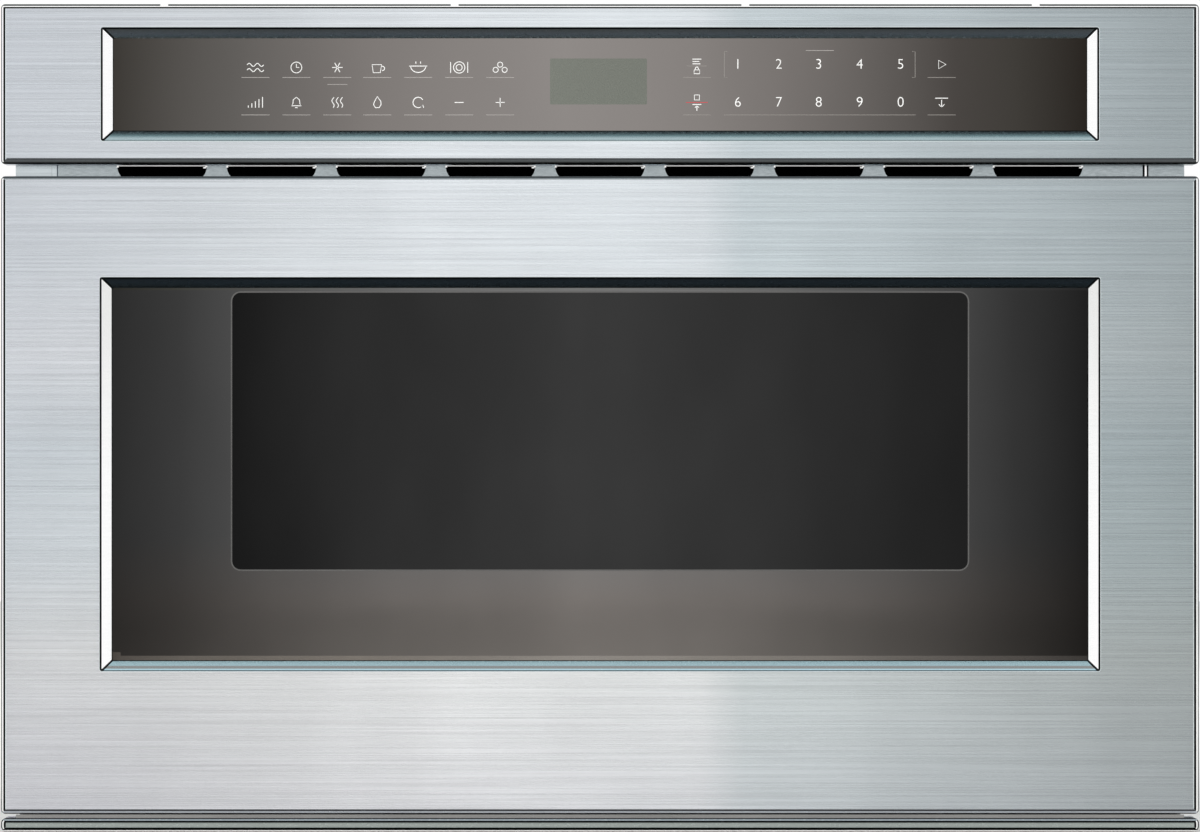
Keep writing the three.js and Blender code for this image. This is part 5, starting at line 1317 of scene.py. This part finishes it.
@dataclass(frozen=True)
class Pattern:
    """Repeats a small mesh in rows and columns with a tree of Geometry Nodes.

    Steps and the start are in millimetres. Touching copies are welded where weld is set.
    """

    name: str
    columns: int
    column_step: Triple
    start: Triple
    rows: int = 1
    row_step: Triple = (0.0, 0.0, 0.0)
    weld: float = 0.0

    def inputs(self, shape: Object, finish: Finish) -> dict[str, tuple[str, object]]:
        """Lists the tree's inputs.

        Args:
            shape: The object to repeat.
            finish: The finish of the result.

        Returns:
            The type and the value of each, by name.
        """
        step, line, start = ([c * MM for c in v] for v in (self.column_step, self.row_step, self.start))
        return {
            "Shape": ("NodeSocketObject", shape),
            "Columns": ("NodeSocketInt", self.columns),
            "Column Step": ("NodeSocketVector", step),
            "Rows": ("NodeSocketInt", self.rows),
            "Row Step": ("NodeSocketVector", line),
            "Start": ("NodeSocketVector", start),
            "Weld": ("NodeSocketFloat", self.weld * MM),
            "Finish": ("NodeSocketMaterial", finish.material()),
        }

    def tree(self, kinds: dict[str, str]) -> NodeTree:
        """Builds the tree: a line of lines of points, a copy on each, made real and dressed.

        Args:
            kinds: The type of each input, by name.

        Returns:
            The node group.
        """
        group = bpy.data.node_groups.new(self.name, "GeometryNodeTree")
        for name, kind in kinds.items():
            group.interface.new_socket(name=name, in_out="INPUT", socket_type=kind)
        group.interface.new_socket(name="Mesh", in_out="OUTPUT", socket_type="NodeSocketGeometry")
        given = add(group, "NodeGroupInput").outputs
        along = {"Count": given["Columns"], "Offset": given["Column Step"]}
        across = {"Count": given["Rows"], "Offset": given["Row Step"], "Start Location": given["Start"]}
        column = add(group, "GeometryNodeMeshLine", along)
        row = add(group, "GeometryNodeMeshLine", across)
        lines = add(group, "GeometryNodeInstanceOnPoints", {"Points": row, "Instance": column})
        points = add(group, "GeometryNodeRealizeInstances", {0: lines})
        shape = add(group, "GeometryNodeObjectInfo", {"Object": given["Shape"]}).outputs["Geometry"]
        copies = add(group, "GeometryNodeInstanceOnPoints", {"Points": points, "Instance": shape})
        solid = add(group, "GeometryNodeRealizeInstances", {0: copies})
        welded = add(group, "GeometryNodeMergeByDistance", {"Geometry": solid, "Distance": given["Weld"]})
        dressed = add(group, "GeometryNodeSetMaterial", {"Geometry": welded, "Material": given["Finish"]})
        add(group, "NodeGroupOutput", {0: dressed})
        return group

    def mesh(self, shape: Piece, finish: Finish) -> Mesh:
        """Runs the tree on a shape that is drawn round the origin.

        Args:
            shape: The shape to repeat.
            finish: The finish of the result.

        Returns:
            A plain mesh, in place.
        """
        carrier = placed("pattern_shape", shape.mesh())
        holder = placed("pattern_holder", bpy.data.meshes.new("pattern_holder"))
        inputs = self.inputs(carrier, finish)
        group = self.tree({name: kind for name, (kind, _) in inputs.items()})
        modifier = holder.modifiers.new("pattern", "NODES")
        modifier.node_group = group
        for socket in group.interface.items_tree:
            if socket.in_out == "INPUT":
                modifier[socket.identifier] = inputs[socket.name][1]
        result = realised(holder)
        holder.modifiers.remove(modifier)
        for made in (carrier, holder):
            bpy.data.objects.remove(made)
        bpy.data.node_groups.remove(group)
        result.name = self.name
        return result


def merged(name: str, meshes: Sequence[Mesh]) -> Mesh:
    """Joins meshes that share one finish into one.

    Args:
        name: The new mesh's name.
        meshes: What to join.

    Returns:
        The joined mesh, with the first one's materials.
    """
    gathered = bmesh.new()
    for mesh in meshes:
        gathered.from_mesh(mesh)
    result = bpy.data.meshes.new(name)
    gathered.to_mesh(result)
    gathered.free()
    for material in meshes[0].materials:
        result.materials.append(material)
    return result


# ---------------------------------------------------------------- chassis

SMOOTH_SCREW = 35.0  # degrees: the dome of a head shades smooth, its recess stays sharp


class Heading(Enum):
    """Where a screw head points."""

    LEFT = (-1, 0, 0)
    RIGHT = (1, 0, 0)
    UP = (0, 0, 1)
    BACK = (0, 1, 0)


@dataclass(frozen=True)
class Screw:
    """A low pan-head screw with a cross recess.

    dome holds rings of the head: their share of its radius and of its height.
    """

    radius: float = 4.6
    height: float = 1.9
    recess: float = 1.2
    arm: float = 2.6
    arm_width: float = 1.1
    dome: tuple[tuple[float, float], ...] = ((0.72, 1.0), (0.93, 0.72), (1.0, 0.3), (1.0, 0.0))

    def shape(self, heading: Heading) -> Piece:
        """Draws the head round the origin, standing on it.

        Args:
            heading: Where the head points.

        Returns:
            The shape, a few dozen faces.
        """
        piece = Piece("screw_head", "root")
        w, a = self.arm_width / 2, self.arm
        corners: Outline = [(w, w), (w, a), (-w, a)]
        for _ in range(3):
            corners += [(-z, x) for x, z in corners[-3:]]
        spread: Outline = []
        for (x0, z0), (x1, z1) in zip(corners, corners[1:] + corners[:1], strict=True):
            spread += [(x0, z0), ((x0 + x1) / 2, (z0 + z1) / 2)]
        turn = Vector((0, 0, 1)).rotation_difference(Vector(heading.value)).to_matrix()
        turns = [math.atan2(z, x) for x, z in spread]

        def ring(points: Outline, height: float) -> list[int]:
            """Adds a ring of the head at a height."""
            return piece.ring(tuple(turn @ Vector((x, y, height))) for x, y in points)

        rings = [ring(spread, self.height - self.recess), ring(spread, self.height)]
        for share, level in self.dome:
            reach = self.radius * share
            circle = [(reach * math.cos(t), reach * math.sin(t)) for t in turns]
            rings.append(ring(circle, self.height * level))
        piece.face(rings[0], BRIGHT_STEEL)
        for inner, outer in pairwise(rings):
            piece.strip(inner, outer, BRIGHT_STEEL)
        piece.face(rings[-1][::-1], BRIGHT_STEEL)
        return piece


@dataclass
class VentStrip:
    """The slotted strip in the gap over the drawer, with a black baffle behind its slots that paints their
    shade.
    """

    slots: int = 9
    pitch: float = 55.75
    low: float = 329.6
    high: float = 351.0
    slot_low: float = 331.6
    slot_high: float = 338.4
    curve_steps: int = 6
    front: float = -266.7
    rear: float = -265.7
    frame: float = -264.3
    half_top: float = 22.9
    half_foot: float = 18.6
    end: float = 276.3
    flange: float = 297.6
    lean: float = 0.06
    seam_low: float = 332.0
    seam_high: float = 340.0
    seam_proud: float = 0.08

    def slot_outline(self) -> tuple[Outline, Outline]:
        """Draws one slot, whose sides curve in towards its foot, and the cell round it.

        Returns:
            The slot and the cell, with as many points, counter-clockwise.
        """
        rise = self.slot_high - self.slot_low
        side: Outline = []
        for k in range(self.curve_steps + 1):
            turn = math.radians(90 * k / self.curve_steps)
            reach = self.half_foot + (self.half_top - self.half_foot) * math.sin(turn)
            side.append((reach, self.slot_low + rise * (1 - math.cos(turn))))
        half = self.pitch / 2
        edge = [(half, z) for _, z in side]
        edge[0], edge[-1] = (half, self.low), (half, self.high)
        slot, cell = (line + [(-x, z) for x, z in reversed(line)] for line in (side, edge))
        return slot, cell

    def row(self, name: str, shape: Piece, finish: Finish, weld: float = 0.0) -> Mesh:
        """Repeats a shape over the slots.

        Args:
            name: The pattern's name.
            shape: The shape, drawn for a slot in the middle.
            finish: Its finish.
            weld: Distance within which copies are welded.

        Returns:
            The mesh.
        """
        first = -(self.slots - 1) / 2 * self.pitch
        return Pattern(name, self.slots, (self.pitch, 0, 0), (first, 0, 0), weld=weld).mesh(shape, finish)

    def build(self) -> None:
        """Builds the strip, its lips, its seams and the baffle."""
        self.strip()
        self.lips()
        self.seams()
        # Painted shade: a black sheet behind the slots for the dark inside the case
        baffle = Piece("vent_baffle", "root")
        baffle.box((-272.0, -264.95, 331.0), (272.0, -264.4, 349.0), PAINTED_SHADE_BAFFLE)
        baffle.made()

    def strip(self) -> None:
        """Builds the strip from a cell for each slot, closed above and below, and its two ends."""
        slot, cell = self.slot_outline()
        shape = Piece("vent_cell", "root")
        front, back = shape.frame(slot, cell, (self.front, self.rear), VENT_STEEL, rim=False)
        top, foot = len(slot) // 2 - 1, len(slot) - 1
        shape.face((front[top], back[top], back[top + 1], front[top + 1]), VENT_STEEL)
        shape.face((front[foot], back[foot], back[0], front[0]), VENT_STEEL)
        punched = self.row("vent_slots", shape, VENT_STEEL, weld=0.01)
        ends = Piece("vent_ends", "root")
        reach = self.slots * self.pitch / 2
        for x0, x1 in ((-self.end, -reach), (reach, self.end)):
            ends.box((x0, self.front, self.low), (x1, self.rear, self.high), VENT_STEEL)
        for x0, x1 in ((-self.end, -self.end + 1.0), (self.end - 1.0, self.end)):
            ends.box((x0, self.rear, self.low), (x1, self.frame, self.high), VENT_STEEL)
        made = settle(merged("vent_strip", [punched, ends.mesh()]), "vent_strip", "root", SMOOTH_FRONT)
        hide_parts("vent_grille")

    def lips(self) -> None:
        """Adds small lips to each slot that lean forward, painted as highlights for the light that they
        mirror under the fascia.
        """
        lip = Piece("vent_lip", "root")
        half, y = self.half_top, self.front - 0.4
        for x0, x1, z0, z1 in (
            (-half, half, 337.8, 338.3),
            (half - 1.9, half - 0.5, 336.7, 337.4),
            (half - 0.9, half + 0.1, 337.2, 338.1),
            (-half - 0.1, -half + 0.8, 337.1, 338.1),
        ):
            top = y - self.lean * (z1 - z0)
            lip.slab(((x0, y, z0), (x1, y, z0), (x1, top, z1), (x0, top, z1)), (0, 0.5, 0), PAINTED_HIGHLIGHT)
        lips = self.row("vent_lips", lip, PAINTED_HIGHLIGHT)
        settle(lips, "vent_lips", "root")

    def seams(self) -> None:
        """Adds painted lines of shade and highlight at the folds of the strip's two ends, and the flange of
        the body beyond them.
        """
        seam = Piece("vent_seam", "root")
        for x0, x1, finish in (
            (-self.end - 0.3, -self.end + 0.3, OUTLINE_HEM),
            (self.end, self.end + 1.1, PAINTED_SHADE),
            (self.end + 1.1, self.end + 2.1, PAINTED_HIGHLIGHT),
            (self.end + 2.1, self.end + 3.0, PAINTED_SHADE),
        ):
            near = (x0, self.front - self.seam_proud, self.seam_low)
            seam.box(near, (x1, self.front, self.seam_high), finish)
        inner, outer = self.end + 3.0, self.flange
        for x0, x1, finish in ((-outer, -inner, FRAME_STEEL), (inner, outer, VENT_STEEL)):
            seam.box((x0, -265.2, self.slot_low), (x1, -264.6, self.seam_high), finish)
        seam.made()


@dataclass
class Fasteners:
    """The screws that hold the case together, in rows made by one tree."""

    side: float = 278.0
    roof: float = 373.7
    rows: tuple[float, float] = (-252.0, 286.0)

    def build(self) -> None:
        """Sets the rows of screws on the sides and the roof, and the sloped ends of its beads."""
        screw = Screw()
        rows = []
        for heading, x in ((Heading.LEFT, -self.side), (Heading.RIGHT, self.side)):
            lines = [("side_rows", (0, 0, 96.0), (x, y, 48.0)) for y in self.rows]
            lines.append(("side_foot_row", (0, 122.0, 0), (x, -166.0, 19.0)))
            head = screw.shape(heading)
            rows += [Pattern(name, 4, step, start).mesh(head, BRIGHT_STEEL) for name, step, start in lines]
        head = screw.shape(Heading.UP)
        for y in self.rows:
            line = Pattern("roof_rows", 5, (124.0, 0, 0), (-248.0, y, self.roof))
            rows.append(line.mesh(head, BRIGHT_STEEL))
        made = settle(merged("case_screws", rows), "case_screws", "root", SMOOTH_SCREW)
        ramp = Piece("bead_run_out", "root")
        foot, top = (276.0, -3.95), (295.4, -0.05)
        ramp.slab(((-11.0, *foot), (11.0, *foot), (14.8, *top), (-14.8, *top)), (0, 0, -0.9), ZINC_SHEET)
        ends = Pattern("bead_run_outs", 2, (300.0, 0, 0), (-150.0, 0, self.roof)).mesh(ramp, ZINC_SHEET)
        settle(ends, "bead_run_outs", "root")


@dataclass
class RearPanel:
    """The back of the case: a sheet with lanced louvres, a folded edge, a bare plate and screws.

    fields gives, for each field of louvres, its middle along X and Z, its columns and its rows.
    """

    sheet: float = 0.6
    plane: float = 297.0
    half: float = 278.0
    low: float = 10.3
    high: float = 372.2
    slot_half: float = 17.0
    slot_rise: float = 2.0
    louvre_depth: float = -4.2
    pitch: tuple[float, float] = (42.0, 12.0)
    fields: tuple[tuple[float, float, int, int], ...] = ((-118.0, 240.0, 3, 7), (145.0, 66.0, 3, 4))
    plate: tuple[float, float, float, float] = (60.0, 150.0, 200.0, 256.0)
    screw_half: float = 256.0

    def build(self) -> None:
        """Builds the panel from the frame's own, and adds blades, plate and screws."""
        mesh = frame["nodes"]["rear_panel"].data.copy()
        mesh.materials.clear()
        mesh.materials.append(ZINC_SHEET.material())
        work = bmesh.new()
        work.from_mesh(mesh)
        bmesh.ops.remove_doubles(work, verts=work.verts, dist=1e-6)
        for point in work.verts:
            if point.co.y > (self.plane - 0.5) * MM:
                point.co.y = (self.plane - self.sheet) * MM
        work.to_mesh(mesh)
        work.free()
        panel = settle(mesh, "rear_sheet", "root")
        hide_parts("rear_panel")
        settle(self.blades(), "rear_louvres", "root")
        self.trim()

    def blades(self) -> Mesh:
        """Makes the blades that slope inwards from the upper edge of each slot.

        Returns:
            The blades of all fields, as one mesh.
        """
        x, rise, deep = self.slot_half, self.slot_rise, self.louvre_depth
        foot, low = -rise, -rise - 2.0
        slope = ((x, 0.0, rise), (x, deep, foot), (-x, deep, foot), (-x, 0.0, rise))
        hem = ((x, deep, low), (-x, deep, low), (-x, deep, foot), (x, deep, foot))
        blade = Piece("louvre_blade", "root")
        blade.slab(slope, (0, -0.15, 0.6), ZINC_SHEET)
        blade.slab(hem, (0, -0.6, 0), ZINC_SHEET)
        across, up = self.pitch
        face = self.plane - self.sheet
        made = []
        for mid_x, mid_z, columns, rows in self.fields:
            first = (mid_x - across * (columns - 1) / 2, face, mid_z - up * (rows - 1) / 2)
            field = Pattern("louvre_field", columns, (across, 0, 0), first, rows, (0, 0, up))
            made.append(field.mesh(blade, ZINC_SHEET))
        return merged("rear_louvres", made)

    def trim(self) -> None:
        """Adds the folded edge round the panel, its screws and a plate with nothing on it."""
        back, face = self.plane, self.plane - self.sheet
        soft = back - 0.1
        edge = Piece("rear_folded_edge", "root")
        rings = [
            edge.loop(inset_box(self.half, self.low, self.high, i, 1.5), y)
            for i, y in ((0.0, face), (0.0, soft), (0.4, back), (11.6, back), (12.0, soft), (12.0, face))
        ]
        for first, second in zip(rings, rings[1:] + rings[:1], strict=True):
            edge.strip(first, second, ZINC_SHEET)
        edge.made(smooth_below=50)
        head = Screw(radius=4.2, height=0.58, recess=0.45).shape(Heading.BACK)
        side = self.screw_half
        levels = (self.low + 20.0, self.high - 20.0)
        lines = [("rear_rows", 5, (128.0, 0, 0), (-side, face, z)) for z in levels]
        lines += [("rear_sides", 2, (0, 0, 106.0), (x, face, 138.0)) for x in (-side, side)]
        rows = [Pattern(*line).mesh(head, BRIGHT_STEEL) for line in lines]
        screws = settle(merged("rear_screws", rows), "rear_screws", "root", SMOOTH_SCREW)
        plate = Piece("rating_plate_blank", "root")
        outline = rounded(*self.plate, 3.0)
        outer, inner = plate.loop(outline, face + 0.3), plate.loop(outline, face)
        plate.face(outer[::-1], PLATE_FOIL)
        plate.face(inner, PLATE_FOIL)
        plate.strip(inner, outer, PLATE_FOIL)
        plate.made()


# ---------------------------------------------------------------- drawer and cooking space


@dataclass
class WindowScreen:
    """The perforated screen behind the window, punched in one pattern of round holes."""

    half: float = 192.1
    low: float = 127.1
    high: float = 278.8
    depths: tuple[float, float] = (-269.6, -268.8)
    pitch: float = 4.6
    hole: float = 1.55
    columns: int = 81
    rows: int = 31

    def cell(self) -> Piece:
        """Draws one cell of the pattern: a square of sheet round an eight-sided hole.

        Returns:
            The cell, open where it meets its neighbours.
        """
        shape = Piece("screen_cell", "drawer")
        h = self.pitch / 2
        square = [(h, 0), (h, h), (0, h), (-h, h), (-h, 0), (-h, -h), (0, -h), (h, -h)]
        turns = [k * math.pi / 4 for k in range(8)]
        hole = [(self.hole * math.cos(t), self.hole * math.sin(t)) for t in turns]
        shape.frame(hole, square, self.depths, SCREEN_BLACK, rim=False)
        return shape

    def build(self) -> None:
        """Builds the screen in place of its plain solid."""
        middle = (self.low + self.high) / 2
        start = (-(self.columns - 1) / 2 * self.pitch, 0, middle - (self.rows - 1) / 2 * self.pitch)
        across, up = (self.pitch, 0, 0), (0, 0, self.pitch)
        holes = Pattern("screen_holes", self.columns, across, start, self.rows, up, weld=0.01)
        sheet = holes.mesh(self.cell(), SCREEN_BLACK)
        border = Piece("screen_border", "drawer")
        reach, rise = self.columns * self.pitch / 2, self.rows * self.pitch / 2
        inner, outer = (
            [(-x, z0), (x, z0), (x, z1), (-x, z1)]
            for x, z0, z1 in ((reach, middle - rise, middle + rise), (self.half, self.low, self.high))
        )
        border.frame(inner, outer, self.depths, SCREEN_BLACK)
        punched = merged("window_screen_punched", [sheet, border.mesh()])
        made = settle(punched, "window_screen_punched", "drawer")
        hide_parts("window_screen")


@dataclass
class GlassTray:
    """The removable glass tray: a rounded plate with a raised rim.

    section holds its outline from the foot of the rim over its crest to the plate: inset and
    rise. Its first edge_rings segments are seen edge on.
    """

    low: float = 93.5
    x: float = 211.8
    front: float = -264.0
    rear: float = 138.3
    corner: float = 18.0
    section: tuple[tuple[float, float], ...] = (
        (0.8, 0.0), (0.0, 1.0), (0.0, 4.2), (0.8, 5.0), (2.6, 5.0), (3.6, 4.6), (9.0, 3.2)
    )
    edge_rings: int = 4

    def ring(self, piece: Piece, inset: float, z: float) -> list[int]:
        """Adds the tray's outline at an inset and a height."""
        x, near, far = self.x - inset, self.front + inset, self.rear - inset
        return piece.ring((x, y, z) for x, y in rounded(-x, x, near, far, self.corner - inset))

    def build(self) -> None:
        """Builds the tray in place of its plain solid."""
        piece = Piece("glass_tray_pressed", "drawer")
        rings = [self.ring(piece, inset, self.low + rise) for inset, rise in self.section]
        for place, (outer, inner) in enumerate(pairwise(rings)):
            piece.strip(outer, inner, TRAY_EDGE if place < self.edge_rings else TRAY_GLASS)
        piece.faces = [face[::-1] for face in piece.faces]
        piece.face(rings[-1], TRAY_GLASS)
        piece.face(rings[0][::-1], TRAY_GLASS)
        tray = piece.made(40.0)
        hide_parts("glass_tray")


# ---------------------------------------------------------------- studio


@dataclass
class Studio:
    """The pale floor, the soft light and the camera, in metres and watts."""

    front: float = -0.297
    camera_distance: float = 5.062
    camera_height: float = 0.2106
    lens: float = 300.0
    floor_reach: float = 6.0
    world_light: float = 0.88
    lamp_size: float = 1.6
    lamp_target: Triple = (0, 0, 0.2)
    lamps: tuple[tuple[str, Triple, float], ...] = (
        ("key_light", (-1.5, -2.6, 2.2), 40.0),
        ("fill_light", (2.2, -2.2, 1.3), 18.0),
        ("back_light", (0.6, 2.6, 2.0), 24.0),
    )

    def build(self) -> None:
        """Sets up everything round the object."""
        self.floor()
        self.sky()
        for name, place, watts in self.lamps:
            self.lamp(name, place, watts)
        data = bpy.data.cameras.new("camera")
        data.lens = self.lens
        data.sensor_width = 36
        data.clip_end = 100
        camera = placed("camera", data)
        camera.location = (0, self.front - self.camera_distance, self.camera_height)
        camera.rotation_euler = (math.radians(90), 0, 0)
        bpy.context.scene.camera = camera
        bpy.context.scene.view_settings.view_transform = "Standard"

    def floor(self) -> None:
        """Lays the floor."""
        mesh = bpy.data.meshes.new("floor")
        reach = self.floor_reach
        corners = [(-reach, -reach, 0), (reach, -reach, 0), (reach, reach, 0), (-reach, reach, 0)]
        mesh.from_pydata(corners, [], [(0, 1, 2, 3)])
        mesh.materials.append(STUDIO_FLOOR.material())
        made = placed("floor", mesh)

    def lamp(self, name: str, place: Triple, watts: float) -> None:
        """Hangs a soft square lamp, turned to the object, that metal doesn't mirror.

        Args:
            name: The lamp's name.
            place: Where it hangs.
            watts: Its power.
        """
        data = bpy.data.lights.new(name, "AREA")
        data.size = self.lamp_size
        data.energy = watts
        made = placed(name, data)
        made.location = place
        made.rotation_euler = (Vector(self.lamp_target) - Vector(place)).to_track_quat("-Z", "Y").to_euler()
        made.visible_glossy = False

    def sky(self) -> None:
        """Makes a white backdrop that camera, mirror and glass rays see, and plain light."""
        world = bpy.data.worlds.new("studio")
        bpy.context.scene.world = world
        world.use_nodes = True
        tree = world.node_tree
        tree.nodes.clear()
        path = add(tree, "ShaderNodeLightPath").outputs
        rays = {0: path["Is Glossy Ray"], 1: path["Is Transmission Ray"]}
        mirrored = add(tree, "ShaderNodeMath", rays, operation="MAXIMUM")
        seen = add(tree, "ShaderNodeMath", {0: path["Is Camera Ray"], 1: mirrored}, operation="MAXIMUM")
        place = add(tree, "ShaderNodeTexCoord").outputs["Generated"]
        height = add(tree, "ShaderNodeSeparateXYZ", {0: place}).outputs[2]
        shade = add(tree, "ShaderNodeMapRange", {0: height, 1: -0.5, 2: -0.05, 3: 0.85, 4: 1.0})
        gloss = add(tree, "ShaderNodeMix", {0: mirrored, 2: 1.0, 3: shade}, data_type="FLOAT")
        backdrop = add(tree, "ShaderNodeBackground", {0: (1, 1, 1, 1), 1: gloss})
        light = add(tree, "ShaderNodeBackground", {0: linear("#f8fafb"), 1: self.world_light})
        mixed = add(tree, "ShaderNodeMixShader", {0: seen, 1: light, 2: backdrop})
        add(tree, "ShaderNodeOutputWorld", {0: mixed})


# ---------------------------------------------------------------- frame nodes that keep their shape

WORN = {
    RAIL_STEEL: "frame_bottom_rail",
    FRAME_STEEL: "frame_top_rail frame_stile_left frame_stile_right",
    ZINC_SHEET: "base_pan base_skid_left base_skid_right case_side_left case_side_right case_top waveguide"
    " exhaust_duct drive_bracket noise_filter capacitor door_frame",
    ENAMEL: "cavity_wrap cavity_back cavity_ceiling tub_wrap tub_back",
    BLACK_ABS: "control_housing choke_cover cable_gland fan_shroud display_module interlock_switch_left"
    " interlock_switch_right rack_guide",
    WHITE_PP: "stirrer_cover fan_impeller interlock_tongue_left interlock_tongue_right cavity_lamp",
    ACETAL: "rack drive_pinion interlock_plunger_left interlock_plunger_right",
    MOTOR_STEEL: "antenna_motor fan_motor gear_motor magnetron stirrer_antenna",
    COPPER_WINDING: "transformer",
    SOLDER_MASK: "control_board",
    SLIDE_STEEL: "slide_outer_left slide_outer_right slide_middle_left slide_middle_right"
    " slide_inner_left slide_inner_right",
}


def main() -> None:
    """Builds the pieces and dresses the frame."""
    logging.basicConfig(level=logging.INFO, format="%(message)s")
    fronts = (Studio, FrontPanels, ControlPrint, DoorGlass, VentStrip)
    for assembly in (*fronts, Fasteners, RearPanel, WindowScreen, GlassTray):
        assembly().build()
    for finish, nodes in WORN.items():
        dress(finish, *nodes.split())


if __name__ == "__main__":
    main()
